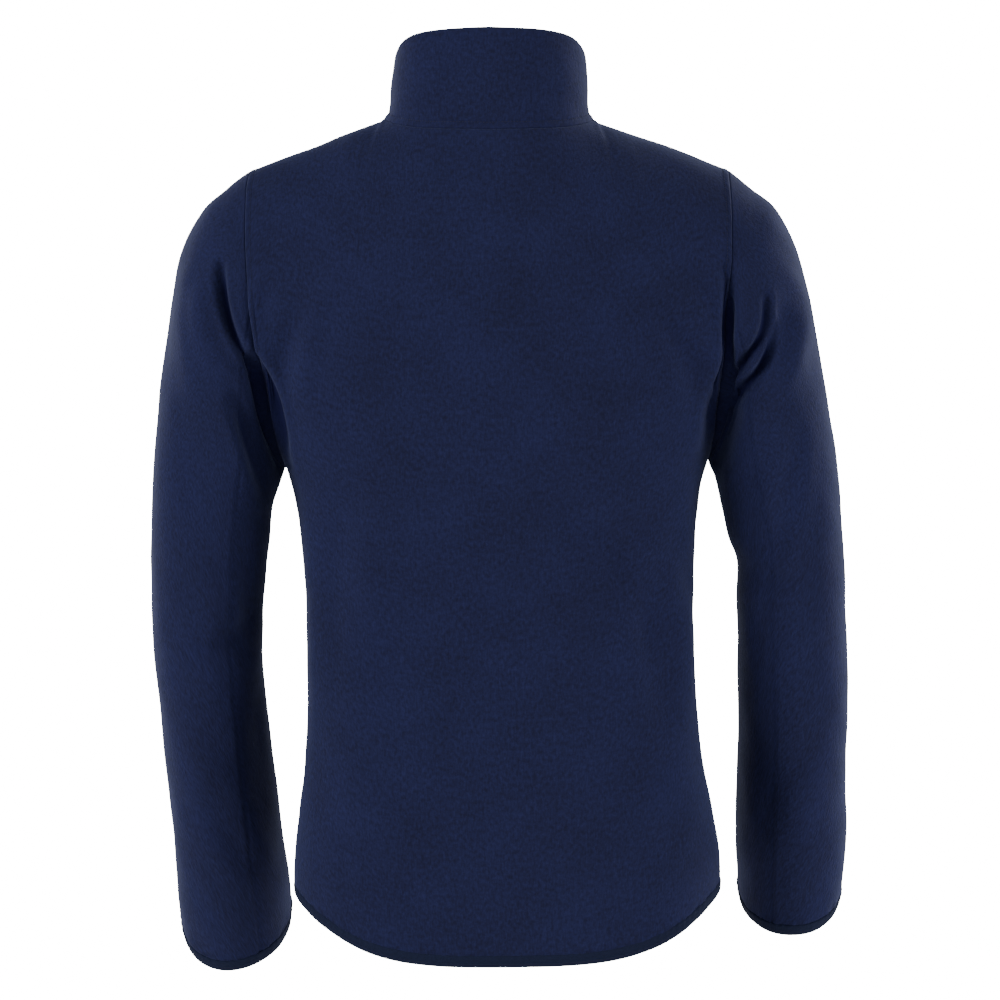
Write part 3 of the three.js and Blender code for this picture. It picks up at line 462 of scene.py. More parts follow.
def lower_body(face, side, across, up):
    """Below the armpit: an oval at each height, a little squarer than an ellipse. across goes from 0 at the
    centre back or the zip to 1 at the side seam, up from 0 at the hem to 1 at the armpit."""
    back = face == "back"
    start = 0 if back else 180 - zip_angle(along(BODY, "z", SIDE_HEM, "half"))
    angle = np.radians(lerp(start, 90, across))
    hem = SIDE_HEM - (BACK_DROP * (1 - np.sin(angle) ** BACK_DROP_POWER) if back else 0)
    z = lerp(hem, ARMPIT_Z, up)
    x = along(BODY, "z", z, "half") * np.sin(angle)
    y = along(BODY, "z", z, face) * np.clip(np.cos(angle), 0, 1) ** SECTION_POWER
    y = np.where(across >= 1, 0, y)
    return place(side * (x if back else np.maximum(x, ZIP_EDGE)), y if back else -y, z)


def top_line(face, side, across):
    """The line that a panel ends on at the top: the neck seam, then the straight shoulder seam."""
    start = 0 if face == "back" else zip_angle(NECK_HALF)
    neck = neck_point(lerp(start, 90, np.clip(across / NECK_SHARE, 0, 1)), side)
    part = np.clip((across - NECK_SHARE) / (1 - NECK_SHARE), 0, 1)[..., None]
    return lerp(neck, SHOULDER_TIP * (side, 1, 1), part)


def soft_top(face, side, across):
    """The top line with its corner smoothed out: the mean of five of its points beside each other."""
    reach = CORNER_REACH * across * (1 - across)
    return np.mean([top_line(face, side, across + n * reach) for n in (-1, -0.5, 0, 0.5, 1)], axis=0)


def upper_body(face, side, across, up):
    """Above the armpit: each point runs from the armpit line to the top line, and swells out between them
    by a sine of up that is fullest at the armhole."""
    swell = SWELL[face]
    low = lower_body(face, side, across, 1.0)
    sharp = smoothstep(up, CORNER_FROM, 1)[..., None]
    top = lerp(soft_top(face, side, across), top_line(face, side, across), sharp)
    turn = smoothstep(across, 0, TURN_FULL_AT)
    rise = lerp(up, np.sin(np.pi / 2 * up), lerp(TURN_AT_CENTRE, 1, turn))
    soft = np.sin(np.pi * up) * (1 + SWELL_SKEW * np.cos(np.pi * up)) / SWELL_SCALE
    round_ = np.sin(np.pi * up**ARMHOLE_SWELL_POWER)
    bump = lerp(soft, round_, across**4) * lerp(swell["centre"], swell["armhole"], across**3)
    bow = swell["bow"][side] * np.sin(np.pi * up**BOW_POWER) * across**3
    x = lerp(low[..., 0], top[..., 0], up**TOP_POWER) + side * bow
    y = lerp(low[..., 1], top[..., 1], up**TOP_POWER) + (bump if face == "back" else -bump)
    return place(x, y, lerp(low[..., 2], top[..., 2], rise))


def swayed(p):
    """The jacket isn't quite straight: each level is moved sideways and tilted a little."""
    x = p[..., 0] + along(SWAY, "z", p[..., 2], "shift")
    return place(x, p[..., 1], p[..., 2] + x * along(SWAY, "z", p[..., 2], "tilt"))


# Where the grids have their points: even steps, and finer ones beside the seams and rows of stitches
FINE = (0.004, 0.009, 0.016)
SLEEVE_STEPS, SLEEVE_FINE = 180, (0.002, 0.0045)
COLLAR_STEPS, COLLAR_FINE = 26, ((0.01, 0.02, 0.03, 0.06, 0.07, 0.085, 0.1, 0.13), (0.006, 0.014, 0.025))
TO_NECK = stops(0, NECK_SHARE, 32)
ZIP_TO_NECK = stops(0, NECK_SHARE, 32, fine_low=(0.007, 0.014, 0.024, 0.05, 0.06, 0.07, 0.085))
NECK_TO_SIDE = stops(NECK_SHARE, 1, 46, fine_high=(0.01, 0.02, 0.034))
ACROSS = {
    "back": np.unique(np.concatenate([TO_NECK, NECK_TO_SIDE])),
    "front": np.unique(np.concatenate([ZIP_TO_NECK, NECK_TO_SIDE])),
}
LOWER_UPS = stops(0, 1, 84, fine_low=FINE)
UPPER_UPS = stops(0, 1, 76, fine_high=FINE)


def body_half(face, side):
    """One side of the front or the back: rows from hem to top, columns from the middle to the side."""
    across = ACROSS[face][None, :]
    lower = lower_body(face, side, across, LOWER_UPS[:, None])
    return swayed(np.concatenate([lower, upper_body(face, side, across, UPPER_UPS[1:, None])]))


def back_grid():
    left = body_half("back", 1)
    return np.concatenate([body_half("back", -1)[:, :0:-1], left], axis=1)


def armhole_ring(side):
    """The armhole as a ring of points, down the back edge from the shoulder and up the front one, and how
    far round each is, from 0 at the shoulder past pi at the armpit."""
    back = upper_body("back", side, np.ones(1), UPPER_UPS[:0:-1, None])[:, 0]
    front = upper_body("front", side, np.ones(1), UPPER_UPS[:-1, None])[:, 0]
    turn = np.pi * np.concatenate([1 - UPPER_UPS[:0:-1], 1 + UPPER_UPS[:-1]])
    return swayed(np.concatenate([back, front])), turn


def sleeve_grid(sleeve):
    """A sleeve: each section is an oval between an outer and an inner edge. Near the armhole it takes on
    the armhole's own shape, and towards the cuff the forearm leans forward and its back edge drops."""
    side, table = sleeve["side"], dict(sleeve["table"])
    table["n"] = np.arange(len(table["y"]), dtype=float)
    row = stops(0, table["n"][-1], SLEEVE_STEPS, fine_low=SLEEVE_FINE, fine_high=FINE)[:, None]
    at = {name: along(table, "n", row, name) for name in SLEEVE_COLUMNS.split()}
    seam, turn = armhole_ring(side)
    first = {name: table[name][0] for name in table}
    chord = np.array([first["in_x"] - first["out_x"], first["in_z"] - first["out_z"]])
    local = np.stack([side * seam[:, 0] - first["out_x"], seam[:, 2] - first["out_z"]], -1)
    seam_down = local @ chord / (chord @ chord)
    seam_off = (local[:, 0] * chord[1] - local[:, 1] * chord[0]) / np.sqrt(chord @ chord)
    blend = np.clip(1 - row / ARMHOLE_SECTIONS, 0, 1) ** ARMHOLE_POWER
    down = lerp((1 - np.cos(turn)) / 2, seam_down, blend)
    run_x, run_z = at["in_x"] - at["out_x"], at["in_z"] - at["out_z"]
    run = np.hypot(run_x, run_z)
    x = at["out_x"] + run_x * down + seam_off * blend * run_z / run
    z = at["out_z"] + run_z * down - seam_off * blend * run_x / run
    y = lerp(np.sin(turn), (seam[:, 1] - first["y"]) / first["deep"], blend) * at["deep"]
    cuff = np.clip(row - (table["n"][-1] - CUFF_SECTIONS), 0, None) / CUFF_SECTIONS
    drop = np.clip(np.sin(turn - np.radians(sleeve["cuff_turn"]) * np.sin(turn)), 0, 1) ** CUFF_POWER
    z = z - y * np.tan(np.radians(at["lean"])) - cuff**2 * sleeve["cuff_drop"] * drop
    grid = place(side * x, at["y"] + y, z)
    grid[0] = seam
    return grid


def collar_grid():
    """The collar stands on the neck seam: ovals whose half width and depth follow its profile. Columns run
    from the zip on the wearer's right round the back to the zip on the left."""
    front = zip_angle(NECK_HALF)
    front_share = ACROSS["front"][ACROSS["front"] <= NECK_SHARE + 1e-6] / NECK_SHARE
    back_share = ACROSS["back"][ACROSS["back"] <= NECK_SHARE + 1e-6] / NECK_SHARE
    quarter = [lerp(front, 90, front_share), lerp(0, 90, back_share)[::-1]]
    angle = np.concatenate([quarter[0], quarter[1][1:], quarter[1][-2::-1], quarter[0][-2::-1]])
    side = np.where(np.arange(len(angle)) < len(quarter[0]) + len(quarter[1]) - 1, -1, 1)
    up = stops(0, 1, COLLAR_STEPS, *COLLAR_FINE)[:, None]
    a = np.radians(angle)
    x = along(COLLAR, "up", up, "half") * np.sin(a)
    x = np.where(angle > 120, np.maximum(x, ZIP_EDGE), x)
    y = NECK_MIDDLE + along(COLLAR, "up", up, "shift") + along(COLLAR, "up", up, "depth") * np.cos(a)
    low, top = (along(NECK_LINE, "angle", angle, name) for name in ("seam", "top"))
    return swayed(place(side * x, y, lerp(low, top, up)))


def stepped(grid, tube):
    """For each point, the vectors along its row and its column, between the points on either side."""
    row = np.pad(grid, ((0, 0), (1, 1), (0, 0)), "wrap" if tube else "edge")
    column = np.pad(grid, ((1, 1), (0, 0), (0, 0)), "edge")
    return row[:, 2:] - row[:, :-2], column[2:] - column[:-2]


def lengths(grid, axis):
    """The length from the first point of each row (axis 1) or column (axis 0) to each point of it."""
    step = size_of(np.diff(grid, axis=axis))[..., 0]
    return np.concatenate([np.zeros_like(np.take(step, [0], axis)), np.cumsum(step, axis)], axis)


def resample(at, length, points):
    """Points along a line, at the lengths wanted, from the lengths to its own points."""
    return np.stack([np.interp(at, length, points[:, k]) for k in range(3)], -1)


def fold_shift(folds, p):
    """How far creases press or lift the cloth, and how steep the troughs are where it lies in them, which
    sets the painted shade in them. Across a crease the shift is a bell curve with a low lip on both sides;
    along it both follow a sine that keeps a share at the ends."""
    shift, steep = np.zeros(p.shape[:-1]), np.zeros(p.shape[:-1])
    here = p[..., None, [0, 2]]
    t = np.linspace(0, 1, FOLD_STEPS + 1)[:, None]
    for n in range(len(folds["wide"])):
        start, middle, end = (np.array([folds[f"x{k}"][n], folds[f"z{k}"][n]]) for k in "0m1")
        bend = 2 * middle - (start + end) / 2
        line = (1 - t) ** 2 * start + 2 * t * (1 - t) * bend + t**2 * end
        run = np.diff(line, axis=0)
        near = np.clip(((here - line[:-1]) * run).sum(-1) / (run**2).sum(-1), 0, 1)
        away = np.linalg.norm(here - line[:-1] - near[..., None] * run, axis=-1)
        nearest = away.argmin(-1)[..., None]
        share = (nearest + np.take_along_axis(near, nearest, -1))[..., 0] / FOLD_STEPS
        s = np.take_along_axis(away, nearest, -1)[..., 0] / folds["wide"][n]
        swell = np.sin(np.pi * share)
        bell = folds["deep"][n] * lerp(FOLD_ENDS, 1, swell)
        shift += bell * (np.exp(-(s**2)) - FOLD_LIP * np.exp(-(((s - LIP_AT) / LIP_WIDE) ** 2)))
        # painted shade: how dark this trough is painted, from its depth over its half width
        dark = -min(folds["deep"][n], 0) / folds["wide"][n] * lerp(SHADE_ENDS, 1, swell)
        steep += dark * np.exp(-((SHADE_NARROW * s) ** 2))
    return shift, steep


def uneven(p, wave, seed):
    """A gentle unevenness from about -1 to 1: sine waves in seeded directions, of about one length."""
    rng = np.random.default_rng(seed)
    directions = unit(rng.normal(size=(WAVES, 3)))
    k = 2 * np.pi / (wave * rng.uniform(0.7, 1.4, WAVES))
    phase = rng.uniform(0, 2 * np.pi, WAVES)
    return np.sin(p @ (directions * k[:, None]).T + phase).sum(-1) / WAVES_HEIGHT


# The panels
def panel(name, grid, tube=False):
    """A piece of cloth before it is a mesh, with its outward normals."""
    sideways, upwards = stepped(grid, tube)
    normal = unit(np.cross(sideways, upwards))
    middle = grid.mean(axis=1, keepdims=True) if tube else grid.mean(axis=(0, 1), keepdims=True)
    if not tube and name != "collar":
        middle = middle * (0, 0, 1)
    if (normal * (grid - middle)).sum() < 0:
        normal = -normal
    return {"name": name, "grid": grid, "tube": tube, "normal": normal}


panels = {
    p["name"]: p
    for p in (
        panel("back_panel", back_grid()),
        panel("front_left", body_half("front", 1)),
        panel("front_right", body_half("front", -1)),
        panel("sleeve_left", sleeve_grid(SLEEVES["left"]), tube=True),
        panel("sleeve_right", sleeve_grid(SLEEVES["right"]), tube=True),
        panel("collar", collar_grid()),
    )
}


def settle_seams():
    """Adds the creases and the unevenness of the cloth, and the painted shade deep in steep troughs, with
    one normal and one shift for all the points that meet at a seam, so that the pieces on both sides of it
    stay together."""
    for p in panels.values():
        shift, trough = np.zeros(p["grid"].shape[:-1]), np.zeros(p["grid"].shape[:-1])
        # painted shade: the steepest trough of the creases of every piece seen from the same side, so that
        # the painted shade runs on across seams
        for (name, face), folds in FOLDS.items():
            facing = p["normal"][..., 1] * (1 if face == "back" else -1)
            moved, steep = fold_shift(folds, p["grid"])
            trough = np.maximum(trough, steep * smoothstep(facing, *SHADE_FACING))
            if name == p["name"]:
                shift += moved * smoothstep(facing, *FOLD_FACING)
        p["shade"] = smoothstep(trough, *SHADE_SLOPES)
        for high, wave, seed in UNEVENNESS:
            shift += high * uneven(p["grid"], wave, seed)
        p["shift"] = shift
        edge = np.zeros(shift.shape, bool)
        edge[[0, -1]] = True
        if not p["tube"]:
            edge[:, [0, -1]] = True
        p["edge"] = edge
    pieces = list(panels.values())
    points, normals, shifts = (
        np.concatenate([p[key][p["edge"]] for p in pieces]) for key in ("grid", "normal", "shift")
    )
    cells = np.round(points * SEAM_CELLS + SEAM_CELL_SHIFT)
    _, group = np.unique(cells, axis=0, return_inverse=True)
    group = group.ravel()
    count = np.bincount(group)
    total = np.stack([np.bincount(group, normals[:, k]) for k in range(3)], -1)
    shared, mean = unit(total)[group], (np.bincount(group, shifts) / count)[group]
    start = 0
    for p in pieces:
        end = start + p["edge"].sum()
        p["own"] = p["normal"].copy()
        p["normal"][p["edge"]] = shared[start:end]
        p["shift"][p["edge"]] = mean[start:end]
        start = end
    for name, zip_edges in (("front_left", [0]), ("front_right", [0]), ("collar", [0, -1])):
        level = panels[name]["normal"][:, zip_edges] * (0, 1, 1)
        panels[name]["normal"][:, zip_edges] = unit(level)
    for p in pieces:
        p["grid"] = p["grid"] + p["normal"] * p["shift"][..., None]


settle_seams()


def edge_distance(p):
    """How far each point is from the nearest edge of its piece, along its row or its column."""
    down = lengths(p["grid"], 0)
    nearest = np.minimum(down, down[-1] - down)
    if not p["tube"]:
        sideways = lengths(p["grid"], 1)
        nearest = np.minimum(nearest, np.minimum(sideways, sideways[:, -1:] - sideways))
    return nearest


def groove(distance, at, wide, deep):
    """A narrow groove (deep above 0) or ridge that runs at a fixed distance from a seam."""
    return -deep * np.exp(-(((distance - at) / wide) ** 2))


SLEEVE_SEAM = {"left": 0.3325, "right": 0.32}  # share of the way round, from the shoulder down the back
# Grooves (or ridges) beside seams, hems and rows of stitches: how far from them, half width, depth (height)
COLLAR_GROOVE = 6.0, 1.3, 0.45
COLLAR_ZIP_GROOVE = 5.5, 1.3, 0.45
ZIP_GROOVE = 5.5, 1.3, 0.5
ARMHOLE_GROOVE = 5.5, 1.6, 0.2
ARMHOLE_RIDGE = 2.6, 1.8, 0.3
SLEEVE_GROOVE = 0, 1.3, 0.9
SLEEVE_RIDGE = -3.4, 2.4, 0.5
HEM_GATHERS = 3.0, 5.0, 0.3
CUFF_GATHERS = 3.0, 6.0, 0.35
COLLAR_PUCKER, HEM_PUCKER, CUFF_PUCKER = (9, 21), (11, 22), (10, 23)  # length of the waves, seed
ARMHOLE_START = 12  # how far above the armpit the stitched edge of the armhole is at full height


def relief(p):
    """Fine relief of a piece: how far it stands up or sinks in beside rows of stitches and bindings."""
    name, grid = p["name"], p["grid"]
    down, sideways = lengths(grid, 0), lengths(grid, 1)
    shift = np.zeros(down.shape)
    far = sideways[:, -1:] - sideways
    if name == "collar":
        shift += groove(down, *COLLAR_GROOVE) * (1 + 0.5 * uneven(grid, *COLLAR_PUCKER))
        shift += groove(sideways, *COLLAR_ZIP_GROOVE) + groove(far, *COLLAR_ZIP_GROOVE)
    elif p["tube"]:
        seam = round(SLEEVE_SEAM[name.removeprefix("sleeve_")] * grid.shape[1])
        around = sideways - sideways[:, [seam]]
        shift += groove(around, *SLEEVE_GROOVE) - groove(around, *SLEEVE_RIDGE)
        shift += groove(down[-1] - down, *CUFF_GATHERS) * uneven(grid, *CUFF_PUCKER)
    else:
        above = smoothstep(grid[..., 2], ARMPIT_Z, ARMPIT_Z + ARMHOLE_START)
        for edge in (sideways, far) if name == "back_panel" else (far,):
            shift += (groove(edge, *ARMHOLE_GROOVE) - groove(edge, *ARMHOLE_RIDGE)) * above
        if name != "back_panel":
            shift += groove(sideways, *ZIP_GROOVE)
        shift += groove(down, *HEM_GATHERS) * uneven(grid, *HEM_PUCKER)
    return shift


for p in panels.values():
    roll = np.clip(1 - edge_distance(p) / SEAM_ROUND, 0, 1)
    p["roll"] = SEAM_DIP * (1 - np.sqrt(1 - roll**2))  # how far the cloth goes in towards its seams
    p["relief"] = relief(p)


def outward(points, quads):
    """The faces of a closed piece, turned round where they face inwards: its volume comes out below 0."""
    a, b, c, d = (points[quads[:, k]] for k in range(4))
    volume = (np.cross(a, b) * c).sum() + (np.cross(a, c) * d).sum()
    return quads if volume > 0 else quads[:, ::-1]


def add_mesh(name, points, quads, material, uv=None, smooth=True):
    """A mesh from points in millimetres and faces of four corners, placed in the row's frame in metres."""
    mesh = bpy.data.meshes.new(name)
    mesh.from_pydata((points.reshape(-1, 3) * MM).tolist(), [], quads.tolist())
    mesh.polygons.foreach_set("use_smooth", np.full(len(mesh.polygons), smooth))
    if uv is not None:
        layer = mesh.uv_layers.new(name="cloth")
        layer.data.foreach_set("uv", (uv.reshape(-1, 2) * MM).ravel())
    mesh.update()
    obj = bpy.data.objects.new(name, mesh)
    bpy.context.scene.collection.objects.link(obj)
    mesh.materials.append(material)
    return obj


def strip_quads(rows, columns_, closed, offset=0):
    """The faces of a grid, row by row, as corner numbers; closed joins the last column to the first."""
    i = np.arange(rows - 1)[:, None]
    j = np.arange(columns_ if closed else columns_ - 1)[None, :]
    right = (j + 1) % columns_
    corners = (i * columns_ + j, i * columns_ + right, (i + 1) * columns_ + right, (i + 1) * columns_ + j)
    return np.stack(np.broadcast_arrays(*corners), -1).reshape(-1, 4) + offset


def tube_faces(sections, around, closed):
    """The faces of a tube, section by section: a closed one runs back into its start, another gets flat
    ends."""
    quads = strip_quads(sections, around, True)
    first = np.arange(around)
    last = first + (sections - 1) * around
    if closed:
        return np.concatenate([quads, np.stack([last, np.roll(last, -1), np.roll(first, -1), first], -1)])
    half = np.arange(around // 2 - 1)
    end = np.stack([half, half + 1, around - 2 - half, around - 1 - half], -1)
    return np.concatenate([quads, end[:, ::-1], end + (sections - 1) * around])


def add_tube(name, points, closed, material, u, v):
    """A tube from its sections of points, with a map along it and round it."""
    sections, around = points.shape[:2]
    quads = outward(points.reshape(-1, 3), tube_faces(sections, around, closed))
    u, v = (np.broadcast_to(w, (sections, around)).ravel() for w in (u[:, None], v))
    return add_mesh(name, points, quads, material, np.stack([u[quads], v[quads]], -1))


def wall(p, material):
    """The closed wall of one piece of cloth: outer grid, inner grid and a rim between them. The cloth ends
    half a seam gap short of each seam. Its map is in millimetres along rows and columns."""
    grid, normal, tube = p["grid"], p["normal"], p["tube"]
    mitre = np.maximum((normal * p["own"]).sum(-1), 0.5)[..., None]
    sides = ((0, 1), (-1, -2))
    outer = grid.copy()
    for edge, beside in sides:
        outer[edge] += unit(grid[beside] - grid[edge]) * SEAM_GAP / 2
        if not tube:
            outer[:, edge] += unit(grid[:, beside] - grid[:, edge]) * SEAM_GAP / 2
    thick = CLOTH / mitre
    inner = outer - normal * (thick - p["roll"][..., None])
    outer = outer + normal * (p["relief"] - p["roll"])[..., None]
    rows, count = grid.shape[:2]
    quads = [strip_quads(rows, count, tube), strip_quads(rows, count, tube, rows * count)[:, ::-1]]
    skin = rows * count
    numbers = np.arange(skin).reshape(rows, count)
    rims = [numbers[0], numbers[-1][::-1]]
    if tube:
        rims = [np.append(r, r[0]) for r in rims]
    else:
        rims += [numbers[::-1, 0], numbers[:, -1]]
    for r in rims:
        quads.append(np.stack([r[1:], r[:-1], r[:-1] + skin, r[1:] + skin], -1))
    points = np.concatenate([outer.reshape(-1, 3), inner.reshape(-1, 3)])
    quads = outward(points, np.concatenate(quads))
    u = lengths(np.concatenate([grid, grid[:, :1]], 1) if tube else grid, 1)
    v = lengths(grid, 0)
    u = u - u[:, [u.shape[1] // 2]]
    corner = quads % skin
    i, j = np.divmod(corner, count)
    if tube:
        wraps = (j.max(1) == count - 1) & (j.min(1) == 0)
        j = np.where(wraps[:, None] & (j == 0), count, j)
    uv = np.stack([u[i, j], v[i, j % count]], -1)
    obj = add_mesh("fleece_" + p["name"], points, quads, material, uv)
    # painted shade: how dark the creases are painted at each point, the same on both skins
    shade = obj.data.attributes.new("crease", "FLOAT", "POINT")
    shade.data.foreach_set("value", np.tile(p["shade"].ravel(), 2))
    return obj


# Finishes
def new_group(name, inputs, outputs):
    """A shader node group with sockets of the given kinds, and its input and output nodes."""
    group = bpy.data.node_groups.new(name, "ShaderNodeTree")
    kinds = {"colour": "NodeSocketColor", "value": "NodeSocketFloat", "vector": "NodeSocketVector"}
    for socket, kind, *value in inputs:
        made = group.interface.new_socket(socket, in_out="INPUT", socket_type=kinds[kind])
        if value:
            made.default_value = value[0]
    for socket, kind in outputs:
        group.interface.new_socket(socket, in_out="OUTPUT", socket_type=kinds[kind])
    return group, group.nodes.new("NodeGroupInput"), group.nodes.new("NodeGroupOutput")


def node(tree, kind, links=(), **settings):
    """A node with its settings, and its sockets set to values or linked from other sockets."""
    made = tree.nodes.new("ShaderNode" + kind)
    for name, value in settings.items():
        setattr(made, name, value)
    for socket, value in dict(links).items():
        if isinstance(value, bpy.types.NodeSocket):
            tree.links.new(value, made.inputs[socket])
        else:
            made.inputs[socket].default_value = value
    return made


def maths(tree, operation, a, b):
    return node(tree, "Math", {0: a, 1: b}, operation=operation).outputs[0]


def blend_colours(tree, share, a, b):
    made = node(tree, "Mix", {0: share, 6: a, 7: b}, data_type="RGBA")
    return made.outputs[2]


def grey(value):
    return (value, value, value, 1)


GRAIN_SHAPE = (1.0, 0.28, 1.0)  # the grain is drawn out up and down the cloth
CLUMP_SHARE = 0.62  # how much of the nap is clumps, the rest being grain
NAP_MIDDLE, NAP_CONTRAST = 0.45, 3.2
SLOW_TONE = 0.85
PILL_DEPTH = 0.35
# Painted shade in the creases: the share of it at its darkest, which also cuts the sheen, and its dark blue
# colour
PAINTED_SHADE_STRENGTH, PAINTED_SHADE_COLOUR = 0.95, (0.0012, 0.0019, 0.0240, 1)


def nap_group():
    """Brushed nap: small clumps of fibre, a fine upright grain and slow changes of tone, as a colour
    between ground and tips, and a height for the bump. Deep in a crease the colour is blended towards a
    dark painted shade, and Lit falls from 1 towards 0 there, so that the sheen is cut by the painted shade."""
    tree, start, end = new_group(
        "brushed_nap",
        [
            ("Map", "vector"),
            ("Ground", "colour", grey(0.01)),
            ("Tips", "colour", grey(0.05)),
            ("Clump", "value", 300.0),
            ("Contrast", "value", 1.0),
            ("Painted_Crease_Shade", "value", 0.0),
        ],
        [("Colour", "colour"), ("Height", "value"), ("Lit", "value")],
    )
    given = start.outputs
    at = {"Vector": given["Map"]}
    clumps = node(tree, "TexNoise", {**at, "Scale": given["Clump"], "Detail": 3.0, "Roughness": 0.62})
    upright = {"Vector": node(tree, "Mapping", {**at, "Scale": GRAIN_SHAPE}).outputs[0]}
    grain = node(tree, "TexNoise", {**upright, "Scale": 700.0, "Detail": 2.0, "Roughness": 0.5})
    slow = node(tree, "TexNoise", {**at, "Scale": 16.0, "Detail": 3.0, "Roughness": 0.55})
    pills = node(tree, "TexVoronoi", {**at, "Scale": 820.0}, feature="SMOOTH_F1")
    most = maths(tree, "MULTIPLY", clumps.outputs[0], CLUMP_SHARE)
    fine = maths(tree, "ADD", most, maths(tree, "MULTIPLY", grain.outputs[0], 1 - CLUMP_SHARE))
    spread = maths(tree, "MULTIPLY", maths(tree, "SUBTRACT", fine, 0.5), given["Contrast"])
    tone = maths(tree, "MULTIPLY", maths(tree, "SUBTRACT", slow.outputs[0], 0.5), SLOW_TONE)
    share = maths(tree, "ADD", maths(tree, "MULTIPLY", spread, NAP_CONTRAST), NAP_MIDDLE)
    clamped = node(tree, "Clamp", {"Value": maths(tree, "ADD", share, tone)}).outputs[0]
    lit = blend_colours(tree, clamped, given["Ground"], given["Tips"])
    # painted shade: the colour is blended towards the shade colour and the sheen cut where the creases are
    # painted dark
    dark = maths(tree, "MULTIPLY", given["Painted_Crease_Shade"], PAINTED_SHADE_STRENGTH)
    tree.links.new(maths(tree, "SUBTRACT", 1.0, dark), end.inputs["Lit"])
    tree.links.new(blend_colours(tree, dark, lit, PAINTED_SHADE_COLOUR), end.inputs["Colour"])
    height = maths(tree, "SUBTRACT", fine, maths(tree, "MULTIPLY", pills.outputs["Distance"], PILL_DEPTH))
    tree.links.new(height, end.inputs["Height"])
    return tree


def weave_group():
    """A fine rib: threads across and along, as a colour share and a height."""
    tree, start, end = new_group(
        "fine_rib",
        [
            ("Map", "vector"),
            ("Ground", "colour", grey(0.01)),
            ("Thread", "colour", grey(0.04)),
            ("Across", "value", 900.0),
            ("Along", "value", 300.0),
        ],
        [("Colour", "colour"), ("Height", "value")],
    )
    given = start.outputs
    parts = node(tree, "SeparateXYZ", {0: given["Map"]}).outputs
    wave_x = maths(tree, "SINE", maths(tree, "MULTIPLY", parts[0], given["Across"]), 0.0)
    wave_y = maths(tree, "SINE", maths(tree, "MULTIPLY", parts[1], given["Along"]), 0.0)
    crossed = maths(tree, "MULTIPLY", wave_x, wave_y)
    noise = node(tree, "TexNoise", {"Vector": given["Map"], "Scale": 700.0, "Detail": 2.0})
    height = maths(tree, "ADD", maths(tree, "MULTIPLY", crossed, 0.35), noise.outputs[0])
    clamped = node(tree, "Clamp", {"Value": height}).outputs[0]
    tree.links.new(blend_colours(tree, clamped, given["Ground"], given["Thread"]), end.inputs["Colour"])
    tree.links.new(height, end.inputs["Height"])
    return tree


BRUSHED_NAP = nap_group()
FINE_RIB = weave_group()


def finish(name, group, values, bump, map_from="cloth", **shader):
    """A material whose colour and bump come from a group: values go to its sockets, bump is a strength and
    a distance. map_from is a UV map's name, or None for the object's own coordinates."""
    material = bpy.data.materials.new(name)
    material.use_nodes = True
    tree = material.node_tree
    principled = next(n for n in tree.nodes if n.type == "BSDF_PRINCIPLED")
    if map_from:
        where = node(tree, "UVMap", uv_map=map_from).outputs[0]
    else:
        where = node(tree, "TexCoord").outputs["Object"]
    made = tree.nodes.new("ShaderNodeGroup")
    made.node_tree = group
    tree.links.new(where, made.inputs["Map"])
    for socket, value in values.items():
        made.inputs[socket].default_value = value
    # painted shade: the crease attribute darkens the colour where the creases are painted dark
    if "Painted_Crease_Shade" in made.inputs:
        crease = node(tree, "Attribute", attribute_name="crease").outputs["Fac"]
        tree.links.new(crease, made.inputs["Painted_Crease_Shade"])
    tree.links.new(made.outputs["Colour"], principled.inputs["Base Color"])
    height = {"Height": made.outputs["Height"], "Strength": bump[0], "Distance": bump[1]}
    bumped = node(tree, "Bump", height)
    tree.links.new(bumped.outputs[0], principled.inputs["Normal"])
    for socket, value in shader.items():
        principled.inputs[socket.replace("_", " ")].default_value = value
    # painted shade: less sheen where the creases are painted dark
    if "Lit" in made.outputs:
        sheen = maths(tree, "MULTIPLY", made.outputs["Lit"], shader["Sheen_Weight"])
        tree.links.new(sheen, principled.inputs["Sheen Weight"])
    return material


FLEECE = finish(
    "brushed_fleece",
    BRUSHED_NAP,
    {"Ground": (0.0028, 0.0036, 0.0190, 1), "Tips": (0.0075, 0.0096, 0.0450, 1)},
    (0.6, 0.0008),
    Roughness=0.95,
    Specular_IOR_Level=0.18,
    Sheen_Weight=0.13,
    Sheen_Roughness=0.42,
    Sheen_Tint=(0.30, 0.38, 0.72, 1),
)
BINDING = finish(
    "elastic_binding",
    FINE_RIB,
    {
        "Ground": (0.0020, 0.0036, 0.013, 1),
        "Thread": (0.0048, 0.0084, 0.030, 1),
        "Across": 5200.0,
        "Along": 2600.0,
    },
    (0.6, 0.0003),
    Roughness=0.9,
    Specular_IOR_Level=0.15,
)
THREAD = finish(
    "sewing_thread",
    FINE_RIB,
    {
        "Ground": (0.003, 0.004, 0.014, 1),
        "Thread": (0.008, 0.010, 0.032, 1),
        "Across": 9000.0,
        "Along": 9000.0,
    },
    (0.3, 0.0001),
    map_from=None,
    Roughness=0.8,
    Specular_IOR_Level=0.2,
)
TAPE = finish(
    "woven_zip_tape",
    FINE_RIB,
    {
        "Ground": (0.0018, 0.0024, 0.0080, 1),
        "Thread": (0.0050, 0.0064, 0.0210, 1),
        "Across": 5200.0,
        "Along": 7800.0,
    },
    (0.6, 0.0003),
    map_from=None,
    Roughness=0.9,
    Specular_IOR_Level=0.12,
)
PLASTIC = finish(
    "moulded_teeth",
    FINE_RIB,
    {
        "Ground": (0.006, 0.008, 0.018, 1),
        "Thread": (0.010, 0.013, 0.026, 1),
        "Across": 900.0,
        "Along": 900.0,
    },
    (0.1, 0.0001),
    map_from=None,
    Roughness=0.38,
)
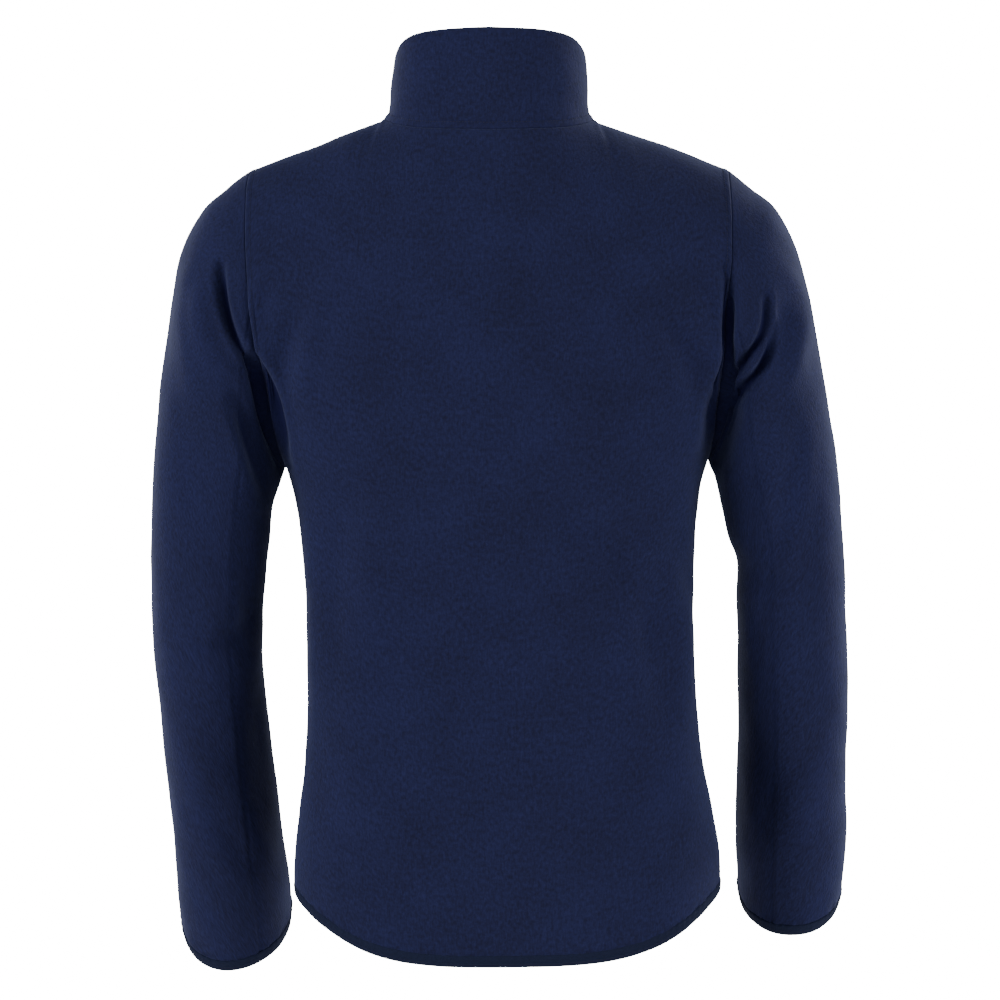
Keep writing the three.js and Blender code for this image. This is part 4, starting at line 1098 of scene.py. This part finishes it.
METAL = finish(
    "lacquered_zinc",
    FINE_RIB,
    {
        "Ground": (0.016, 0.018, 0.024, 1),
        "Thread": (0.030, 0.033, 0.042, 1),
        "Across": 700.0,
        "Along": 900.0,
    },
    (0.12, 0.0001),
    map_from=None,
    Roughness=0.34,
    Metallic=0.85,
)


def dress(obj, body, nodes=()):
    """Says which body a piece moves with and which solids it stands for."""
    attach(obj, body)
    if nodes:
        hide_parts(*nodes)
    return obj


cloth = {name: dress(wall(p, FLEECE), "garment", [name]) for name, p in panels.items()}


# Bindings
def binding(name, edge, beside, closed, pull, seed):
    """A folded elastic edge: a flat round-cornered tube along the cloth's last row, which it wraps. Its
    section is a squared oval, and it is gathered into small uneven waves. pull draws it in."""
    middle = edge.mean(axis=0)
    down = unit(edge - beside)
    out = unit((edge - middle) * (1, 1, 0))
    length = lengths(edge[None], 1)[0]
    total = length[-1] + (size_of(edge[-1:] - edge[:1])[0, 0] if closed else 0)
    at = np.linspace(0, total, int(total / BINDING_STEP), endpoint=not closed)
    if closed:
        edge, down, out = (np.concatenate([v, v[:1]]) for v in (edge, down, out))
        length = np.append(length, total)
    edge, down, out = (resample(at, length, v)[:, None] for v in (edge, down, out))
    theta = np.linspace(0, 2 * np.pi, BINDING_POINTS, endpoint=False)
    cos, sin = np.cos(theta), np.sin(theta)
    half = (BINDING_WIDTH + BINDING_WRAP) / 2
    low = BINDING_WIDTH - half - half * np.sign(cos) * np.abs(cos) ** BINDING_SQUARE[0]
    thick = BINDING_MIDDLE + BINDING_THICK * np.sign(sin) * np.abs(sin) ** BINDING_SQUARE[1]
    rng = np.random.default_rng(seed)
    drawn = rng.uniform(-GATHER_WANDER, GATHER_WANDER, GATHER_PLACES[0])
    wander = np.interp(at, np.linspace(0, total, GATHER_PLACES[0]), drawn)
    drawn = rng.uniform(GATHER_LEAST, 1, GATHER_PLACES[1])
    strength = np.interp(at, np.linspace(0, total, GATHER_PLACES[1]), drawn)
    wave = (np.sin(2 * np.pi * at / GATHER_LONG + 2 * wander) * strength)[:, None]
    outer = sin > 0
    gathers = GATHER_HIGH * wave * outer * np.exp(-low / GATHER_FADE)
    sewn = groove(low, *CHAIN_STITCH) * outer
    swell = thick + gathers + sewn - pull * np.clip(low, 0, None) / BINDING_WIDTH
    points = edge + unit(down) * low[:, None] + unit(out) * swell[..., None]
    return add_tube("elastic_" + name, points, closed, BINDING, at, low * np.where(outer, 1, -1))


def hem_row(row):
    """One row of the three body panels, from the zip on the wearer's right round the back."""
    right, back, left = (panels[name]["grid"][row] for name in ("front_right", "back_panel", "front_left"))
    return np.concatenate([right, back[1:], left[-2::-1]])


hem = binding("hem_binding", hem_row(0), hem_row(3), closed=False, pull=0.5, seed=31)
hem_binding = dress(hem, "garment", ["hem_binding"])
for seed, side in enumerate(("left", "right"), 32):
    grid = panels["sleeve_" + side]["grid"]
    name = "cuff_binding_" + side
    cuff = binding(name, grid[-1], grid[-4], closed=True, pull=1.5, seed=seed)
    dress(cuff, "garment", [name])


# Seam allowances: the folded edges of the cloth along the inside of each seam
def edge_of(name, where):
    """One edge of a panel: its points, the directions from them into the panel, and the panel's normals."""
    grid, own = panels[name]["grid"], panels[name]["own"]
    if where in ("first", "last"):
        grid, own = np.swapaxes(grid, 0, 1), np.swapaxes(own, 0, 1)
    if where in ("top", "last"):
        grid, own = grid[::-1], own[::-1]
    return grid[0], unit(grid[3] - grid[0]), own[0]


ALLOWANCE = columns(  # how far from the seam, and how deep below the outer surface of the cloth
    "beside depth",
    (-5.5, 2.0),
    (-2.4, 1.9),
    (0, 1.1),
    (2.4, 1.9),
    (5.5, 2.0),
    (5.3, 2.8),
    (2.4, 2.9),
    (0, 2.7),
    (-2.4, 2.9),
    (-5.3, 2.8),
)


def seam_allowance(name, one, others, closed=False):
    """A flat strip along the inside of the seam where one edge meets others: its section has five points
    against the cloth and five away from it."""
    line, into, normal = one
    points, their_into, their_normal = (np.concatenate(v) for v in zip(*others))
    away = np.linalg.norm(line[:, None] - points, axis=-1)
    nearest = away.argmin(1)
    meets = away[np.arange(len(line)), nearest] < SEAM_GAP
    line, into, normal, nearest = line[meets], into[meets], normal[meets], nearest[meets]
    beside, depth = ALLOWANCE["beside"][:, None], ALLOWANCE["depth"][:, None]
    both = unit(normal + their_normal[nearest])
    step = np.where(beside < 0, into[:, None], their_into[nearest][:, None]) * np.abs(beside)
    theirs = np.where(beside > 0, their_normal[nearest][:, None], both[:, None])
    made = line[:, None] + step - np.where(beside < 0, normal[:, None], theirs) * depth
    length = lengths(line[None], 1)[0]
    obj = add_tube(name, made, closed, FLEECE, length, ALLOWANCE["beside"])
    return dress(obj, "garment")


back_edges = {side: edge_of("back_panel", where) for side, where in (("left", "last"), ("right", "first"))}
tops = [edge_of(name, "top") for name in ("back_panel", "front_left", "front_right")]
seam_allowance("allowance_neck", edge_of("collar", "foot"), tops)
for side in ("left", "right"):
    front = edge_of("front_" + side, "last")
    armhole = [back_edges[side], front]
    seam_allowance("allowance_armhole_" + side, edge_of("sleeve_" + side, "foot"), armhole, closed=True)
    seam_allowance("allowance_side_" + side, front, [back_edges[side]])
    seam_allowance("allowance_shoulder_" + side, edge_of("front_" + side, "top"), tops[:1])


# Stitches
def line_beside(p, axis, far, distance):
    """Points and normals that run at a distance from a seam: from the first row or column (axis 0 or 1),
    or the last one where far is true."""
    grid, normal = p["grid"], p["normal"]
    shape = grid + normal * (p["relief"] - p["roll"])[..., None]
    if axis:
        shape, normal = np.swapaxes(shape, 0, 1), np.swapaxes(normal, 0, 1)
    if far:
        shape, normal = shape[::-1], normal[::-1]
    length = lengths(shape, 0)
    i = np.clip((length < distance).sum(0) - 1, 0, len(shape) - 2)
    j = np.arange(shape.shape[1])
    t = ((distance - length[i, j]) / (length[i + 1, j] - length[i, j]))[:, None]
    return lerp(shape[i, j], shape[i + 1, j], t), unit(lerp(normal[i, j], normal[i + 1, j], t))


def stitches(line, normal):
    """Stitches along a line: each is a short rounded thread whose ends sink into the cloth."""
    length = lengths(line[None], 1)[0]
    middle = np.arange(STITCH / 2, length[-1] - STITCH / 2, STITCH)
    p, out = resample(middle, length, line), unit(resample(middle, length, normal))
    run = unit(resample(middle + 0.5, length, line) - resample(middle - 0.5, length, line))
    side = np.cross(run, out)
    ends = STITCH_SECTION["end"] + STITCH_SECTION["share"] * (STITCH - STITCH_GAP) / 2
    forward, height, radius = (
        np.repeat(v, STITCH_SIDES) for v in (ends, STITCH_SECTION["height"], STITCH_SECTION["radius"])
    )
    turn = np.tile(np.arange(STITCH_SIDES) * 2 * np.pi / STITCH_SIDES, len(ends))
    along_run = run[:, None] * forward[:, None]
    along_side = side[:, None] * (radius * np.cos(turn))[:, None]
    along_out = out[:, None] * (height + radius * np.sin(turn))[:, None]
    points = p[:, None] + along_run + along_side + along_out
    quads = strip_quads(len(ends), STITCH_SIDES, True)[:, ::-1]
    quads = (quads[None] + (np.arange(len(p)) * len(turn))[:, None, None]).reshape(-1, 4)
    return points.reshape(-1, 3), quads


def sewing(name, *lines):
    """One piece of sewing made of the stitches of several lines."""
    made = [stitches(*line) for line in lines]
    starts = np.cumsum([0, *(len(points) for points, _ in made)])
    points = np.concatenate([points for points, _ in made])
    quads = np.concatenate([quads + start for (_, quads), start in zip(made, starts)])
    return dress(add_mesh(name, points, quads, THREAD), "garment")


def from_row(line, row):
    """A line's points and normals from one of its rows on."""
    return tuple(v[row:] for v in line)


above_arm = len(LOWER_UPS) + 1
sewing("stitching_collar", line_beside(panels["collar"], 0, False, COLLAR_SEWING))
sewing(
    "stitching_zip",
    line_beside(panels["front_left"], 1, False, EDGE_SEWING),
    line_beside(panels["front_right"], 1, False, EDGE_SEWING),
    from_row(line_beside(panels["collar"], 1, False, EDGE_SEWING), 3),
    from_row(line_beside(panels["collar"], 1, True, EDGE_SEWING), 3),
)
armhole_edges = (("back_panel", False), ("back_panel", True), ("front_left", True), ("front_right", True))
sewing(
    "stitching_armholes",
    *(from_row(line_beside(panels[name], 1, far, EDGE_SEWING), above_arm) for name, far in armhole_edges),
)


# Zip teeth
def zip_line():
    """The centre line of the zip from the foot of the hem's binding up the front and the collar, with its
    run and its outward direction, and the length to each of its points."""
    left, collar = panels["front_left"]["grid"][:, 0], panels["collar"]["grid"][1:, -1]
    foot = left[:1] + unit(left[:1] - left[5:6]) * BINDING_WIDTH
    line = np.concatenate([foot, left, collar]) - (ZIP_EDGE, 0, 0)
    run = unit(stepped(line[:, None], False)[1])[:, 0]
    return line, run, place(0, -run[:, 2], run[:, 1]), lengths(line[None], 1)[0]


def zip_length_at(node_name, top):
    """The length up the zip at the bottom or the top of one of its solids."""
    line, _, _, length = zip_line()
    low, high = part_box(node_name)
    return np.interp((high if top else low).z, line[:, 2] * MM, length)


def tape_strip(name, end, left, right, near, far):
    """A flat strip of tape along the zip, from its foot to a length up it, between two distances across
    and two depths below the cloth's outer surface."""
    line, _, out, length = zip_line()
    at = np.linspace(0, end, TAPE_SECTIONS)
    x, away = np.array([left, right, right, left])[:, None], -np.array([near, near, far, far])[:, None]
    out = unit(resample(at, length, out))
    points = resample(at, length, line)[:, None] + x * (1.0, 0, 0) + out[:, None] * away
    quads = outward(points.reshape(-1, 3), tube_faces(len(at), len(x), closed=False))
    return dress(add_mesh(name, points, quads, TAPE, smooth=False), "garment")


slider_foot = zip_length_at("zip_slider", top=False) - SEAM_GAP
whole_zip = zip_line()[3][-1]
for name, sizes in TAPE_STRIPS.items():
    tape_strip(name, slider_foot if name == "tape_cords" else whole_zip, *sizes)


def zip_teeth():
    """Moulded teeth, in turn from the left and the right: each is a block with a narrower head past the
    centre line, in layers from front to back that make its edges round."""
    line, run, out, length = zip_line()
    ends = [zip_length_at("zip_chain", top) for top in (False, True)]
    middle = np.arange(ends[0] + TOOTH_END, ends[1] - TOOTH_END, TOOTH_PITCH / 2)
    side = np.where(np.arange(len(middle)) % 2, 1.0, -1.0)
    p, run, out = resample(middle, length, line), *(unit(resample(middle, length, v)) for v in (run, out))
    corners, layers = len(TOOTH["x"]), len(TOOTH_LAYERS["out"])
    x = ((TOOTH["x"] - 1) * TOOTH_LAYERS["scale"][:, None] + 1).ravel()
    z = (TOOTH["z"] * TOOTH_LAYERS["scale"][:, None]).ravel()
    away = np.repeat(TOOTH_LAYERS["out"], corners)
    across = side[:, None, None] * x[:, None] * np.array([1.0, 0, 0])
    points = p[:, None] + across + run[:, None] * z[:, None] + out[:, None] * away[:, None]
    block = np.array([[0, 1, 2, 8], [8, 2, 3, 7], [7, 3, 4, 6]])
    last = (layers - 1) * corners
    quads = np.concatenate([strip_quads(layers, corners, True), block[:, ::-1], block + last])
    triangles = np.array([[6, 5, 4], [4 + last, 5 + last, 6 + last]])
    start = (np.arange(len(points)) * len(x))[:, None, None]
    flip = (side < 0)[:, None, None]
    faces = [
        np.where(flip, made[None] + start, made[None, :, ::-1] + start).reshape(-1, made.shape[1]).tolist()
        for made in (quads, triangles)
    ]
    mesh = bpy.data.meshes.new("zip_teeth")
    mesh.from_pydata((points.reshape(-1, 3) * MM).tolist(), [], faces[0] + faces[1])
    mesh.update()
    mesh.materials.append(PLASTIC)
    obj = bpy.data.objects.new("zip_teeth", mesh)
    bpy.context.scene.collection.objects.link(obj)
    return obj


dress(zip_teeth(), "garment", ["zip_chain"])

metal_pieces = ("zip_slider", "zip_pull", "zip_stop_left", "zip_stop_right", "zip_box")
for material, names in ((TAPE, ("zip_tape_left", "zip_tape_right")), (METAL, metal_pieces)):
    for name in names:
        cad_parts[name].data.materials.clear()
        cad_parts[name].data.materials.append(material)


# Room: floor, light and camera
def studio():
    """A pale round floor below the jacket, a white surround, and large soft lights all round."""
    low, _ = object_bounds()
    at = (0, 0, low.z - FLOOR_BELOW)
    bpy.ops.mesh.primitive_circle_add(vertices=96, radius=FLOOR_RADIUS, fill_type="NGON", location=at)
    floor = bpy.context.object
    floor.name = "floor"
    material = bpy.data.materials.new("pale_floor")
    material.use_nodes = True
    principled = next(n for n in material.node_tree.nodes if n.type == "BSDF_PRINCIPLED")
    principled.inputs["Base Color"].default_value = grey(FLOOR_GREY)
    principled.inputs["Roughness"].default_value = 0.9
    floor.data.materials.append(material)
    world = bpy.data.worlds.new("white_surround")
    bpy.context.scene.world = world
    world.use_nodes = True
    tree = world.node_tree
    tree.nodes.clear()
    seen, lighting = (
        node(tree, "Background", {"Color": grey(1), "Strength": strength}).outputs[0]
        for strength in (WORLD_SEEN, WORLD_LIGHT)
    )
    by_camera = node(tree, "LightPath").outputs["Is Camera Ray"]
    mix = node(tree, "MixShader", {0: by_camera, 1: lighting, 2: seen})
    tree.links.new(mix.outputs[0], node(tree, "OutputWorld").inputs[0])
    for name, at, width, power in LIGHTS:
        data = bpy.data.lights.new(name, "AREA")
        data.shape, data.size, data.energy = "DISK", width, power
        light = bpy.data.objects.new(name, data)
        light.location = at
        light.rotation_euler = (Vector(LIGHT_AIM) - Vector(at)).to_track_quat("-Z", "Y").to_euler()
        light.visible_camera = False
        bpy.context.scene.collection.objects.link(light)


def photo_camera():
    """The photograph's view: from behind, level, and rolled a little."""
    data = bpy.data.cameras.new("camera")
    data.sensor_width = SENSOR
    data.lens = SENSOR * CAMERA[1] / (PIXEL * FRAME_PIXELS)
    data.clip_start, data.clip_end = CLIP
    camera = bpy.data.objects.new("camera", data)
    right = Vector((-1, 0, -CAMERA_ROLL)).normalized()
    up = Vector((-CAMERA_ROLL, 0, 1)).normalized()
    turn = Matrix((right, up, right.cross(up))).transposed().to_4x4()
    camera.matrix_world = Matrix.Translation(Vector(CAMERA * MM)) @ turn
    bpy.context.scene.collection.objects.link(camera)
    bpy.context.scene.camera = camera


studio()
photo_camera()
